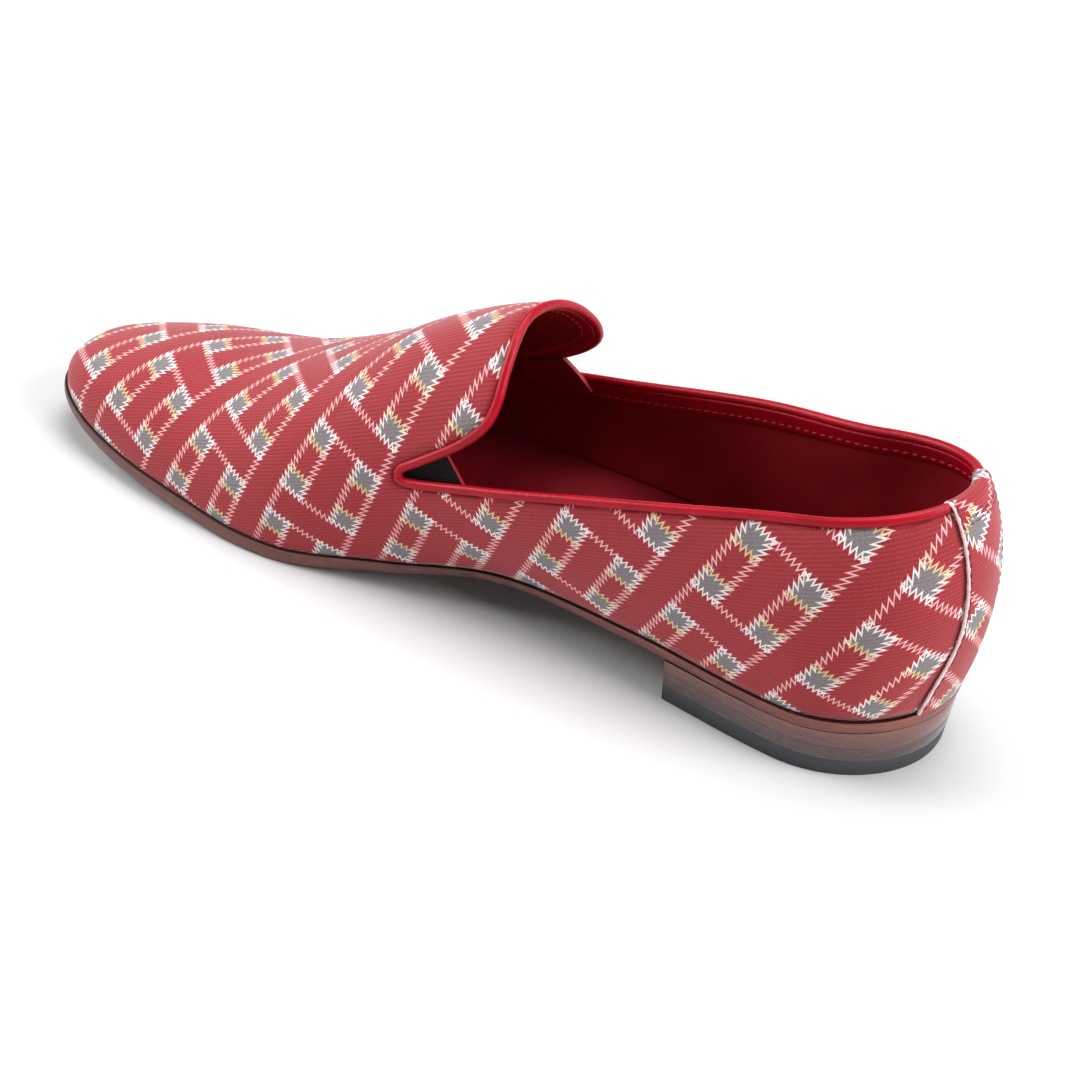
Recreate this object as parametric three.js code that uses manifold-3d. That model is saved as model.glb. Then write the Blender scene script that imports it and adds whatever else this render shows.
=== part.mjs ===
import * as THREE from 'three';
import { mergeVertices } from 'three/addons/utils/BufferGeometryUtils.js';
import Module from 'manifold-3d';

const wasm = await Module();
wasm.setup();

// Slip-on loafer for the right foot. Millimetres, toe toward +X, inner side of the foot toward +Y.

// Overall sizes
const LENGTH = 300;
const HEEL_ROUND = 36;
const TOE_ROUND = 134;
const TOE_POWER = 2.48;
const GAP = 0.3;

// Upper, binding, gores and back strip
const WALL = 2;
const FEATHER_INSET = 1.2;
const BEAD_RADIUS = 1.7;
const NOTCH_X = 162;
const NOTCH_Z = 40.4;
const NOTCH_ROUND = 4;
const GORE_THICK = 1.2;
const GORE_REACH = 21;
const GORE_MARGIN = 4;
const GORE_RISE = 5;
const GORE_SLANT = 10;
const STRIP_THICK = 1.1;
const STRIP_CENTRE = 1.5;
const STRIP_TURN_IN = 9;
const STRIP_TURN_GAP = 0.6;

// Bottom
const SOLE_LIP = 0.3;
const SOLE_WIDEST = 0.55;
const INSOLE_THICK = 2.5;
const INSOLE_CLEAR = 0.6;
const INSOLE_EDGE = 0.5;
const HEEL_BREAST = 74;
const BREAST_HOLLOW = 4;
const BREAST_RADIUS = 150;
const HEEL_TAPER = 1.2;
const TOP_PIECE_THICK = 5.5;
const LIFT_THICK = 4.6;
const LAYER_GAP = 0.2;

// Fineness of the loops
const STATIONS = 52;
const RISES = 11;
const BEAD_SIDES = 8;
const GORE_STEPS = 6;

// Outline and underside of the sole: half width, centre line, underside height, edge thickness, bevel
const SOLE = [
  { x: 0, half: 33.6, centre: 0.9, under: 17.0, edge: 4.0, bevel: 0.6 },
  { x: 40, half: 33.0, centre: 1.8, under: 14.9, edge: 3.4, bevel: 0.6 },
  { x: 85, half: 33.0, centre: -2.8, under: 14.2, edge: 3.6, bevel: 1.4 },
  { x: 130, half: 34.0, centre: -6.5, under: 11.7, edge: 3.2, bevel: 2.0 },
  { x: 165, half: 41.4, centre: -5.6, under: 4.8, edge: 4.1, bevel: 1.5 },
  { x: 200, half: 47.5, centre: -2.1, under: -0.3, edge: 4.8, bevel: 0.8 },
  { x: 235, half: 46.8, centre: 0.3, under: 1.8, edge: 4.9, bevel: 0.7 },
  { x: 270, half: 44.0, centre: 4.4, under: 5.3, edge: 4.4, bevel: 0.7 },
  { x: 300, half: 41.5, centre: 9.1, under: 11.7, edge: 4.1, bevel: 0.7 },
];

// Ridge of the last above each station of the outline
const RIDGE = [
  { x: 0, along: 31.7, height: 101.2, across: 0.0 },
  { x: 40, along: 60.3, height: 102.9, across: 0.3 },
  { x: 85, along: 92.0, height: 101.3, across: 0.8 },
  { x: 130, along: 130.0, height: 91.8, across: 2.6 },
  { x: 165, along: 163.5, height: 76.3, across: 3.2 },
  { x: 200, along: 196.6, height: 54.6, across: 3.9 },
  { x: 235, along: 227.4, height: 39.9, across: 4.5 },
  { x: 270, along: 257.1, height: 35.2, across: 5.6 },
  { x: 300, along: 275.1, height: 31.0, across: 6.4 },
];

// Swell of the inner side of the last: outward lean, how far the side rises, breadth of the crown
const INNER_SIDE = [
  { x: 0, lean: 11.0, rise: 0.62, crown: 0.62 },
  { x: 40, lean: 4.6, rise: 0.56, crown: 0.59 },
  { x: 85, lean: 12.4, rise: 0.60, crown: 0.66 },
  { x: 130, lean: 22.4, rise: 0.50, crown: 0.66 },
  { x: 165, lean: 8.7, rise: 0.53, crown: 0.64 },
  { x: 200, lean: 1.7, rise: 0.51, crown: 0.62 },
  { x: 235, lean: 0.2, rise: 0.49, crown: 0.62 },
  { x: 270, lean: 0.1, rise: 0.52, crown: 0.62 },
  { x: 300, lean: 0.9, rise: 0.59, crown: 0.62 },
];

// Swell of the outer side
const OUTER_SIDE = [
  { x: 0, lean: 11.0, rise: 0.62, crown: 0.62 },
  { x: 40, lean: 6.1, rise: 0.54, crown: 0.59 },
  { x: 85, lean: 10.9, rise: 0.62, crown: 0.66 },
  { x: 130, lean: 12.6, rise: 0.46, crown: 0.66 },
  { x: 165, lean: 7.4, rise: 0.52, crown: 0.64 },
  { x: 200, lean: 2.5, rise: 0.52, crown: 0.62 },
  { x: 235, lean: 0.7, rise: 0.49, crown: 0.62 },
  { x: 270, lean: 0.4, rise: 0.51, crown: 0.62 },
  { x: 300, lean: 0.9, rise: 0.59, crown: 0.62 },
];

// Top of the binding along the quarters, from the back seam to the side notch
const TOPLINE = [
  { x: 0, z: 86.8 },
  { x: 14, z: 82.8 },
  { x: 32, z: 77.9 },
  { x: 60, z: 70.2 },
  { x: 100, z: 58.0 },
  { x: 135, z: 47.4 },
  { x: NOTCH_X, z: NOTCH_Z },
  { x: 200, z: NOTCH_Z },
];

// Edge of the tongue: share of the girth from the notch up to the ridge, place along the shoe
const TONGUE = [
  { share: 0.0, x: NOTCH_X },
  { share: 0.08, x: 151.2 },
  { share: 0.16, x: 142.0 },
  { share: 0.25, x: 136.2 },
  { share: 0.36, x: 134.6 },
  { share: 0.5, x: 135.6 },
  { share: 0.7, x: 137.4 },
  { share: 0.85, x: 138.5 },
  { share: 1.0, x: 138.7 },
];

// Half width of the back strip by height
const STRIP = [
  { z: 15, half: 14.9 },
  { z: 30, half: 14.2 },
  { z: 45, half: 11.1 },
  { z: 60, half: 10.1 },
  { z: 95, half: 9.6 },
];

// Smooth reading of one column of a table
function readTable(rows, from, to, at) {
  const last = rows.length - 1;
  let i = 0;
  while (i < last - 1 && at > rows[i + 1][from]) {
    i += 1;
  }
  const slopeAt = (k) => {
    const a = rows[Math.max(k - 1, 0)];
    const b = rows[Math.min(k + 1, last)];
    return (b[to] - a[to]) / (b[from] - a[from]);
  };
  const run = rows[i + 1][from] - rows[i][from];
  const t = (at - rows[i][from]) / run;
  const t2 = t * t;
  const t3 = t2 * t;
  const start = (2 * t3 - 3 * t2 + 1) * rows[i][to] + (t3 - 2 * t2 + t) * run * slopeAt(i);
  const end = (3 * t2 - 2 * t3) * rows[i + 1][to] + (t3 - t2) * run * slopeAt(i + 1);
  return start + end;
}

// Halving search for the place where a rising function passes zero
function findZero(low, high, rising) {
  let a = low;
  let b = high;
  for (let k = 0; k < 48; k += 1) {
    const middle = (a + b) / 2;
    if (rising(middle) < 0) {
      a = middle;
    } else {
      b = middle;
    }
  }
  return (a + b) / 2;
}

// Stations along the outline, closer together at heel and toe
const QUARTER_TURN = Math.PI / 2;
const MIDDLE_RUN = LENGTH - HEEL_ROUND - TOE_ROUND;
const WHOLE_RUN = (HEEL_ROUND + TOE_ROUND) * QUARTER_TURN + MIDDLE_RUN;
const HEEL_SHARE = HEEL_ROUND * QUARTER_TURN / WHOLE_RUN;
const TOE_SHARE = TOE_ROUND * QUARTER_TURN / WHOLE_RUN;

function stationX(u) {
  if (u < HEEL_SHARE) {
    return HEEL_ROUND * (1 - Math.cos(u / HEEL_SHARE * QUARTER_TURN));
  }
  if (u > 1 - TOE_SHARE) {
    const turn = (u - 1 + TOE_SHARE) / TOE_SHARE * QUARTER_TURN;
    return LENGTH - TOE_ROUND + TOE_ROUND * Math.sin(turn);
  }
  return HEEL_ROUND + (u - HEEL_SHARE) * WHOLE_RUN;
}

function stationOf(x) {
  return findZero(0, 1, (u) => stationX(u) - x);
}

function endShape(x) {
  if (x < HEEL_ROUND) {
    return Math.sqrt(Math.max(0, 1 - (1 - x / HEEL_ROUND) ** 2));
  }
  const toeStart = LENGTH - TOE_ROUND;
  if (x > toeStart) {
    const reach = (x - toeStart) / TOE_ROUND;
    return Math.max(0, 1 - reach ** TOE_POWER) ** (1 / TOE_POWER);
  }
  return 1;
}

function underside(x) {
  return Math.max(0, readTable(SOLE, 'x', 'under', x));
}

function soleTop(x) {
  return underside(x) + readTable(SOLE, 'x', 'edge', x);
}

function outlinePoint(u, side, inset) {
  const x = stationX(u);
  const half = (readTable(SOLE, 'x', 'half', x) - inset) * endShape(x);
  const y = readTable(SOLE, 'x', 'centre', x) + side * half;
  return new THREE.Vector2(inset + x * (LENGTH - 2 * inset) / LENGTH, y);
}

// Surface of the last: u from heel to toe, v from the inner feather (0) over the ridge (1) to the outer (2)
function lastPoint(u, v) {
  if (u < 0) {
    return lastPoint(-u, 2 - v);
  }
  if (u > 1) {
    return lastPoint(2 - u, 2 - v);
  }
  const side = v <= 1 ? 1 : -1;
  const t = v <= 1 ? v : 2 - v;
  const swell = v <= 1 ? INNER_SIDE : OUTER_SIDE;
  const x = stationX(u);
  const base = outlinePoint(u, side, FEATHER_INSET);
  const before = outlinePoint(Math.max(u - 1e-4, 0), side, FEATHER_INSET);
  const after = outlinePoint(Math.min(u + 1e-4, 1), side, FEATHER_INSET);
  const outward = new THREE.Vector2(before.y - after.y, after.x - before.x).multiplyScalar(side).normalize();
  const foot = new THREE.Vector3(base.x, base.y, soleTop(base.x) + GAP);
  const along = readTable(RIDGE, 'x', 'along', x);
  const crest = new THREE.Vector3(along, readTable(RIDGE, 'x', 'across', x), readTable(RIDGE, 'x', 'height', x));
  const low = Math.max(x - 0.5, 0);
  const high = Math.min(x + 0.5, LENGTH);
  const climb = readTable(RIDGE, 'x', 'height', high) - readTable(RIDGE, 'x', 'height', low);
  const slope = climb / (readTable(RIDGE, 'x', 'along', high) - readTable(RIDGE, 'x', 'along', low));
  const lean = readTable(swell, 'x', 'lean', x);
  const rise = readTable(swell, 'x', 'rise', x) * (crest.z - foot.z);
  const crown = readTable(swell, 'x', 'crown', x);
  const back = (foot.x - crest.x) * crown;
  const cheek = new THREE.Vector3(foot.x + outward.x * lean, foot.y + outward.y * lean, foot.z + rise);
  const brow = new THREE.Vector3(crest.x + back, crest.y + (foot.y - crest.y) * crown, crest.z + back * slope);
  return new THREE.CubicBezierCurve3(foot, cheek, brow, crest).getPoint(t);
}

function outwardAt(u, v) {
  const nearCrest = Math.abs(v - 1) < 0.02;
  const place = nearCrest ? THREE.MathUtils.clamp(u, 0.01, 0.99) : u;
  const along = lastPoint(place + 0.004, v).sub(lastPoint(place - 0.004, v));
  const around = lastPoint(place, Math.min(v + 0.02, 2)).sub(lastPoint(place, Math.max(v - 0.02, 0)));
  return around.cross(along).normalize();
}

function offsetPoint(u, v, distance) {
  return lastPoint(u, v).addScaledVector(outwardAt(u, v), distance);
}

// Solids from rows of points
function solidOf(points, faces) {
  const geometry = new THREE.BufferGeometry();
  const flat = points.flatMap((p) => [p.x, p.y, p.z]);
  geometry.setAttribute('position', new THREE.Float32BufferAttribute(flat, 3));
  geometry.setIndex(faces);
  return manifoldOf(geometry);
}

function manifoldOf(geometry) {
  const bare = geometry.clone();
  bare.deleteAttribute('normal');
  bare.deleteAttribute('uv');
  const welded = mergeVertices(bare, 1e-4);
  const index = Array.from(welded.index.array);
  const kept = [];
  for (let k = 0; k < index.length; k += 3) {
    const [a, b, c] = index.slice(k, k + 3);
    if (a !== b && b !== c && c !== a) {
      kept.push(a, b, c);
    }
  }
  const vertProperties = new Float32Array(welded.attributes.position.array);
  const triVerts = new Uint32Array(kept);
  return new wasm.Manifold(new wasm.Mesh({ numProp: 3, vertProperties, triVerts }));
}

// Closed form of the last at a distance from its surface, with its open side drawn down by a drop
function lastForm(distance, drop) {
  const rows = [];
  for (let i = 0; i <= STATIONS; i += 1) {
    const row = [];
    for (let j = 0; j <= 2 * RISES; j += 1) {
      row.push(offsetPoint(i / STATIONS, j / RISES, distance));
    }
    if (i === 0 || i === STATIONS) {
      for (let j = 0; j < RISES; j += 1) {
        row[2 * RISES - j] = row[j].clone();
      }
    }
    if (drop > 0) {
      row.unshift(row[0].clone().setZ(row[0].z - drop));
      row.push(row[row.length - 1].clone().setZ(row[row.length - 1].z - drop));
    }
    rows.push(row);
  }
  const wide = rows[0].length;
  const faces = [];
  for (let i = 0; i < STATIONS; i += 1) {
    for (let j = 0; j < wide - 1; j += 1) {
      const a = i * wide + j;
      const b = a + wide;
      faces.push(a, a + 1, b + 1, a, b + 1, b);
    }
    const m = i * wide;
    const n = m + wide;
    faces.push(m, n, n + wide - 1, m, n + wide - 1, m + wide - 1);
  }
  return solidOf(rows.flat(), faces);
}

// Flat-lying layer: each level gives an inset and a height, listed from the top down
function layerForm(levels, endStation) {
  const rows = [];
  const count = Math.max(8, Math.round(STATIONS * endStation));
  for (let i = 0; i <= count; i += 1) {
    const u = endStation * i / count;
    const row = [];
    for (const side of [1, -1]) {
      const ordered = side > 0 ? [...levels].reverse() : levels;
      for (const level of ordered) {
        const place = outlinePoint(u, side, level.inset(stationX(u)));
        row.push(new THREE.Vector3(place.x, place.y, level.height(place.x)));
      }
    }
    rows.push(row);
  }
  const wide = rows[0].length;
  const faces = [];
  for (let i = 0; i < count; i += 1) {
    for (let j = 0; j < wide; j += 1) {
      const a = i * wide + j;
      const c = i * wide + (j + 1) % wide;
      faces.push(a, c, c + wide, a, c + wide, a + wide);
    }
  }
  if (endStation < 1) {
    const first = count * wide;
    for (let j = 1; j < wide - 1; j += 1) {
      faces.push(first, first + j, first + j + 1);
    }
  }
  return solidOf(rows.flat(), faces);
}

// Thick sheet between a front and a back grid of points
function sheetForm(front, back) {
  const tall = front.length;
  const wide = front[0].length;
  const shift = tall * wide;
  const faces = [];
  const wall = (a, b) => faces.push(a, b, b + shift, a, b + shift, a + shift);
  for (let i = 0; i < tall - 1; i += 1) {
    for (let j = 0; j < wide - 1; j += 1) {
      const a = i * wide + j;
      const b = a + wide;
      faces.push(a, a + 1, b + 1, a, b + 1, b);
      faces.push(shift + a, shift + b + 1, shift + a + 1, shift + a, shift + b, shift + b + 1);
    }
    wall(i * wide, (i + 1) * wide);
    wall((i + 2) * wide - 1, (i + 1) * wide - 1);
  }
  for (let j = 0; j < wide - 1; j += 1) {
    wall(j + 1, j);
    wall((tall - 1) * wide + j, (tall - 1) * wide + j + 1);
  }
  return solidOf([...front.flat(), ...back.flat()], faces);
}

// Collar edge on one side, as places on the last from the back seam to the ridge
function toplineZ(x) {
  return readTable(TOPLINE, 'x', 'z', THREE.MathUtils.clamp(x, 0, 200));
}

function stripHalf(z) {
  return readTable(STRIP, 'z', 'half', z);
}

function quarterPlace(u, side, lowered) {
  const vOf = (t) => (side > 0 ? t : 2 - t);
  const t = findZero(0, 1, (s) => {
    const point = lastPoint(u, vOf(s));
    return point.z - toplineZ(point.x) + lowered;
  });
  return new THREE.Vector2(u, vOf(t));
}

function tonguePlace(share, side, notchT) {
  const t = notchT + (1 - notchT) * share;
  const v = side > 0 ? t : 2 - t;
  const target = readTable(TONGUE, 'share', 'x', share);
  const u = findZero(HEEL_SHARE, 0.9, (s) => lastPoint(s, v).x - target);
  return new THREE.Vector2(u, v);
}

function collarSide(side) {
  const placeX = (place) => lastPoint(place.x, place.y).x;
  const quarterU = (x) => findZero(0, 0.8, (u) => placeX(quarterPlace(u, side, 0)) - x);
  const notch = quarterPlace(quarterU(NOTCH_X), side, 0);
  const notchT = side > 0 ? notch.y : 2 - notch.y;
  const lastU = quarterU(NOTCH_X - NOTCH_ROUND);
  const firstShare = findZero(0, 0.16, (s) => NOTCH_X - NOTCH_ROUND - placeX(tonguePlace(s, side, notchT)));
  const stripU = findZero(0, HEEL_SHARE, (u) => {
    const place = quarterPlace(u, side, 0);
    const point = lastPoint(place.x, place.y);
    return Math.abs(point.y - STRIP_CENTRE) - stripHalf(point.z) - GAP;
  });
  const places = [quarterPlace(0, side, 0), quarterPlace(stripU / 2, side, 0)];
  for (let k = 0; k <= 25; k += 1) {
    places.push(quarterPlace(stripU + (lastU - stripU) * k / 25, side, 0));
  }
  const before = places[places.length - 1];
  const after = tonguePlace(firstShare, side, notchT);
  const corner = new THREE.QuadraticBezierCurve(before, notch, after);
  for (let k = 1; k < 10; k += 1) {
    places.push(corner.getPoint(k / 10));
  }
  for (let k = 0; k <= 18; k += 1) {
    places.push(tonguePlace(firstShare + (1 - firstShare) * k / 18, side, notchT));
  }
  return places;
}

// Whole collar edge, from the back seam along the inner side, over the tongue and back on the outer side
function collarFrames() {
  const inner = collarSide(1);
  const outer = collarSide(-1);
  const places = [...inner, ...outer.slice(0, -1).reverse()];
  const points = places.map((place) => lastPoint(place.x, place.y));
  const count = places.length - 1;
  return points.map((point, k) => {
    const previous = points[k === 0 ? count - 1 : k - 1];
    const next = points[k === count ? 1 : k + 1];
    const along = next.clone().sub(previous).normalize();
    const out = outwardAt(places[k].x, places[k].y);
    const inward = along.clone().cross(out).normalize();
    return { point, out, inward };
  });
}

const collar = collarFrames();
const tip = (collar.length - 1) / 2;
const CUT_BACK = 2 * BEAD_RADIUS + GAP;

// Opening cutter: one side view per side of the foot, joined straight across
function openingForm() {
  const sideView = (frames) => {
    const cut = frames.map((f) => f.point.clone().addScaledVector(f.inward, -CUT_BACK));
    const view = cut.map((p) => new THREE.Vector2(p.x, p.z));
    view.push(new THREE.Vector2(view[view.length - 1].x, 150));
    view.push(new THREE.Vector2(-40, 150));
    view.push(new THREE.Vector2(-40, view[0].y));
    return view;
  };
  const inner = sideView(collar.slice(0, tip + 1));
  const outer = sideView(collar.slice(tip).reverse());
  const count = inner.length;
  const points = [...inner.map((p) => new THREE.Vector3(p.x, 90, p.y))];
  points.push(...outer.map((p) => new THREE.Vector3(p.x, -90, p.y)));
  const faces = [];
  for (const [a, b, c] of THREE.ShapeUtils.triangulateShape(inner, [])) {
    faces.push(a, c, b);
    faces.push(count + a, count + b, count + c);
  }
  for (let k = 0; k < count; k += 1) {
    const n = (k + 1) % count;
    faces.push(k, n, count + n, k, count + n, count + k);
  }
  return solidOf(points, faces);
}

// Binding: a round bead standing on the cut edge, from one side of the back strip round to the other
function bindingForm(radius) {
  const clear = collar.slice(2, -2);
  const points = [];
  for (const f of clear) {
    const centre = f.point.clone().addScaledVector(f.inward, -BEAD_RADIUS).addScaledVector(f.out, -WALL / 2);
    for (let s = 0; s < BEAD_SIDES; s += 1) {
      const angle = s / BEAD_SIDES * 2 * Math.PI;
      const spoke = f.inward.clone().multiplyScalar(Math.cos(angle)).addScaledVector(f.out, Math.sin(angle));
      points.push(centre.clone().addScaledVector(spoke, radius));
    }
  }
  const faces = [];
  for (let k = 0; k < clear.length - 1; k += 1) {
    for (let s = 0; s < BEAD_SIDES; s += 1) {
      const a = k * BEAD_SIDES + s;
      const c = k * BEAD_SIDES + (s + 1) % BEAD_SIDES;
      faces.push(a, c + BEAD_SIDES, c, a, a + BEAD_SIDES, c + BEAD_SIDES);
    }
  }
  const end = (clear.length - 1) * BEAD_SIDES;
  for (let s = 1; s < BEAD_SIDES - 1; s += 1) {
    faces.push(0, s, s + 1);
    faces.push(end, end + s + 1, end + s);
  }
  return solidOf(points, faces);
}

// Upper: hollow shell of the last, open below and at the collar, its edge eased round the binding
const hollow = lastForm(0, 0).subtract(lastForm(-WALL, 8));
const upper = hollow.subtract(openingForm()).subtract(bindingForm(BEAD_RADIUS + GAP));

// Back strip: covers the back seam, folds over the top edge and turns in
function stripForm() {
  const edgeU = (v) => findZero(0, HEEL_SHARE, (u) => {
    const point = lastPoint(u, v);
    return Math.abs(point.y - STRIP_CENTRE) - stripHalf(point.z);
  });
  const across = (w, t) => (w > 0 ? w * edgeU(t) : w * edgeU(2 - t));
  const front = [];
  const back = [];
  const columns = 8;
  for (let i = 0; i <= columns; i += 1) {
    const w = 2 * i / columns - 1;
    const top = findZero(0, 1, (t) => {
      const point = lastPoint(across(w, t), t);
      return point.z - toplineZ(point.x) + CUT_BACK;
    });
    const surface = (t, distance) => offsetPoint(across(w, t), t, distance);
    const outside = [];
    const inside = [];
    for (let k = 0; k <= 12; k += 1) {
      outside.push(surface(top * k / 12, GAP + STRIP_THICK));
      inside.push(surface(top * k / 12, GAP));
    }
    const normal = outwardAt(across(w, top), top);
    const up = surface(top, 0).sub(surface(top - 0.02, 0)).normalize();
    const middle = surface(top, -WALL / 2).addScaledVector(up, 1);
    for (let k = 1; k < 6; k += 1) {
      const angle = Math.PI * k / 6;
      const spoke = normal.clone().multiplyScalar(Math.cos(angle)).addScaledVector(up, Math.sin(angle));
      outside.push(middle.clone().addScaledVector(spoke, WALL / 2 + GAP + STRIP_THICK));
      inside.push(middle.clone().addScaledVector(spoke, WALL / 2 + GAP));
    }
    const low = findZero(0, top, (t) => STRIP_TURN_IN - surface(t, 0).distanceTo(surface(top, 0)));
    for (let k = 0; k <= 3; k += 1) {
      const t = top + (low - top) * k / 3;
      outside.push(surface(t, -WALL - STRIP_TURN_GAP - STRIP_THICK));
      inside.push(surface(t, -WALL - STRIP_TURN_GAP));
    }
    front.push(outside);
    back.push(inside);
  }
  return sheetForm(front, back);
}

// Elastic gore behind a side notch, its rear edge slanting forward toward the top
function goreForm(side) {
  const depth = WALL / 2 + BEAD_RADIUS + GAP;
  const start = stationOf(NOTCH_X + GORE_MARGIN);
  const finish = stationOf(NOTCH_X - GORE_REACH);
  const slant = stationOf(NOTCH_X - GORE_REACH + GORE_SLANT) - finish;
  const front = [];
  const back = [];
  for (let i = 0; i <= GORE_STEPS; i += 1) {
    const along = i / GORE_STEPS;
    const u = start + (finish - start) * along;
    const lowT = quarterPlace(u, 1, GORE_MARGIN).y;
    const highT = quarterPlace(u, 1, -GORE_MARGIN - GORE_RISE * along).y;
    const outside = [];
    const inside = [];
    for (let k = 0; k <= GORE_STEPS; k += 1) {
      const up = k / GORE_STEPS;
      const t = lowT + (highT - lowT) * up;
      const v = side > 0 ? t : 2 - t;
      outside.push(offsetPoint(u + slant * along * up, v, -depth));
      inside.push(offsetPoint(u + slant * along * up, v, -depth - GORE_THICK));
    }
    front.push(side > 0 ? outside.reverse() : outside);
    back.push(side > 0 ? inside.reverse() : inside);
  }
  return sheetForm(front, back);
}

// Bottom layers
const outsole = layerForm([
  { inset: () => SOLE_LIP, height: soleTop },
  { inset: () => 0, height: (x) => underside(x) + SOLE_WIDEST * (soleTop(x) - underside(x)) },
  { inset: (x) => readTable(SOLE, 'x', 'bevel', x), height: underside },
], 1);

const insoleInset = FEATHER_INSET + WALL + INSOLE_CLEAR;
const insole = layerForm([
  { inset: () => insoleInset + INSOLE_EDGE, height: (x) => soleTop(x) + GAP + INSOLE_THICK },
  { inset: () => insoleInset, height: (x) => soleTop(x) + GAP },
], 1);

const breastCut = new THREE.CylinderGeometry(BREAST_RADIUS, BREAST_RADIUS, 60, 120).rotateX(QUARTER_TURN);
breastCut.translate(HEEL_BREAST + BREAST_RADIUS - BREAST_HOLLOW, 0, 10);
const breastForm = manifoldOf(breastCut);

function heelLayer(bottom, top) {
  const seat = underside(HEEL_ROUND);
  const insetAt = (z) => 0.5 + HEEL_TAPER * (1 - Math.min(z, seat) / seat);
  const levels = [
    { inset: () => insetAt(top(HEEL_ROUND)), height: top },
    { inset: () => insetAt(bottom), height: () => bottom },
  ];
  return layerForm(levels, stationOf(HEEL_BREAST + 8)).subtract(breastForm);
}

const lowerLift = TOP_PIECE_THICK + LAYER_GAP;
const upperLift = lowerLift + LIFT_THICK + LAYER_GAP;
const topPiece = heelLayer(0, () => TOP_PIECE_THICK);
const liftLower = heelLayer(lowerLift, () => lowerLift + LIFT_THICK);
const liftUpper = heelLayer(upperLift, (x) => underside(x) - LAYER_GAP);

// Assembly
const PIECES = [
  { name: 'outsole', form: outsole, color: 0x5f3a2e, roughness: 0.5 },
  { name: 'heel_lift_upper', form: liftUpper, color: 0x6b3f2e, roughness: 0.5 },
  { name: 'heel_lift_lower', form: liftLower, color: 0x54302a, roughness: 0.5 },
  { name: 'top_piece', form: topPiece, color: 0x22252b, roughness: 0.75 },
  { name: 'insole', form: insole, color: 0x7a1420, roughness: 0.6 },
  { name: 'upper', form: upper, color: 0x9c3440, roughness: 0.85 },
  { name: 'topline_binding', form: bindingForm(BEAD_RADIUS), color: 0xc0162c, roughness: 0.45 },
  { name: 'back_strip', form: stripForm(), color: 0xa23a44, roughness: 0.85 },
  { name: 'gore_inner', form: goreForm(1), color: 0x15131a, roughness: 0.9 },
  { name: 'gore_outer', form: goreForm(-1), color: 0x15131a, roughness: 0.9 },
];

const loafer = new THREE.Group();
loafer.name = 'loafer';
for (const piece of PIECES) {
  const mesh = piece.form.getMesh();
  const geometry = new THREE.BufferGeometry();
  geometry.setAttribute('position', new THREE.Float32BufferAttribute(mesh.vertProperties, 3));
  geometry.setIndex(Array.from(mesh.triVerts));
  geometry.computeVertexNormals();
  const look = { color: piece.color, roughness: piece.roughness, metalness: 0 };
  const node = new THREE.Mesh(geometry, new THREE.MeshStandardMaterial(look));
  node.name = piece.name;
  loafer.add(node);
}

// Origin at the middle of the footprint, on the floor
const reach = new THREE.Box3().setFromObject(loafer);
const middle = reach.getCenter(new THREE.Vector3());
for (const node of loafer.children) {
  node.geometry.translate(-middle.x, -middle.y, -reach.min.z);
}

export default loafer;
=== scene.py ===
import math

import bmesh
import bpy
import numpy as np
from mathutils import Matrix, Vector


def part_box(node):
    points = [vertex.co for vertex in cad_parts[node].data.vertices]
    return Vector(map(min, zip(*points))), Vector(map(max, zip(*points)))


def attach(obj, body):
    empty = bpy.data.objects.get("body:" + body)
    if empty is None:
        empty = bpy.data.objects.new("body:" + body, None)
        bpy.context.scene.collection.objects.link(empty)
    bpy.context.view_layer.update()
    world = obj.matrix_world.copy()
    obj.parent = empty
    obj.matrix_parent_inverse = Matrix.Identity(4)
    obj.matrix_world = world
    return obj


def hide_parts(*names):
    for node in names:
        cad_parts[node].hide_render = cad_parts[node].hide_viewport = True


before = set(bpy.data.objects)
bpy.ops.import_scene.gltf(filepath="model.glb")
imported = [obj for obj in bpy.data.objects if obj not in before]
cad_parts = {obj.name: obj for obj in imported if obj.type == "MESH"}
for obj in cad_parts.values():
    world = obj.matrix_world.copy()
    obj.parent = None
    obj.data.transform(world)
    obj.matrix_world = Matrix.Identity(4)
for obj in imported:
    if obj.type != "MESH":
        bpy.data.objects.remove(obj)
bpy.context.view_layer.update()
print("frame loaded:", ", ".join(sorted(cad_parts)))

# The last, in millimetres: x from the back of the heel to the toe, y toward the inner side of the foot
last = {
    "length": 300, "heelRound": 36, "toeRound": 134, "toePower": 2.48,
    "gap": 0.3, "wall": 2.0, "featherInset": 1.2,
}
stations = [0, 40, 85, 130, 165, 200, 235, 270, 300]
sole = {
    "x":      stations,
    "half":   [33.6, 33.0, 33.0, 34.0, 41.4, 47.5, 46.8, 44.0, 41.5],
    "centre": [0.9, 1.8, -2.8, -6.5, -5.6, -2.1, 0.3, 4.4, 9.1],
    "under":  [17.0, 14.9, 14.2, 11.7, 4.8, -0.3, 1.8, 5.3, 11.7],
    "edge":   [4.0, 3.4, 3.6, 3.2, 4.1, 4.8, 4.9, 4.4, 4.1],
    "bevel":  [0.6, 0.6, 1.4, 2.0, 1.5, 0.8, 0.7, 0.7, 0.7],
}
ridge = {
    "x":      stations,
    "along":  [31.7, 60.3, 92.0, 130.0, 163.5, 196.6, 227.4, 257.1, 275.1],
    "height": [101.2, 102.9, 101.3, 91.8, 76.3, 54.6, 39.9, 35.2, 31.0],
    "across": [0.0, 0.3, 0.8, 2.6, 3.2, 3.9, 4.5, 5.6, 6.4],
}
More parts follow.
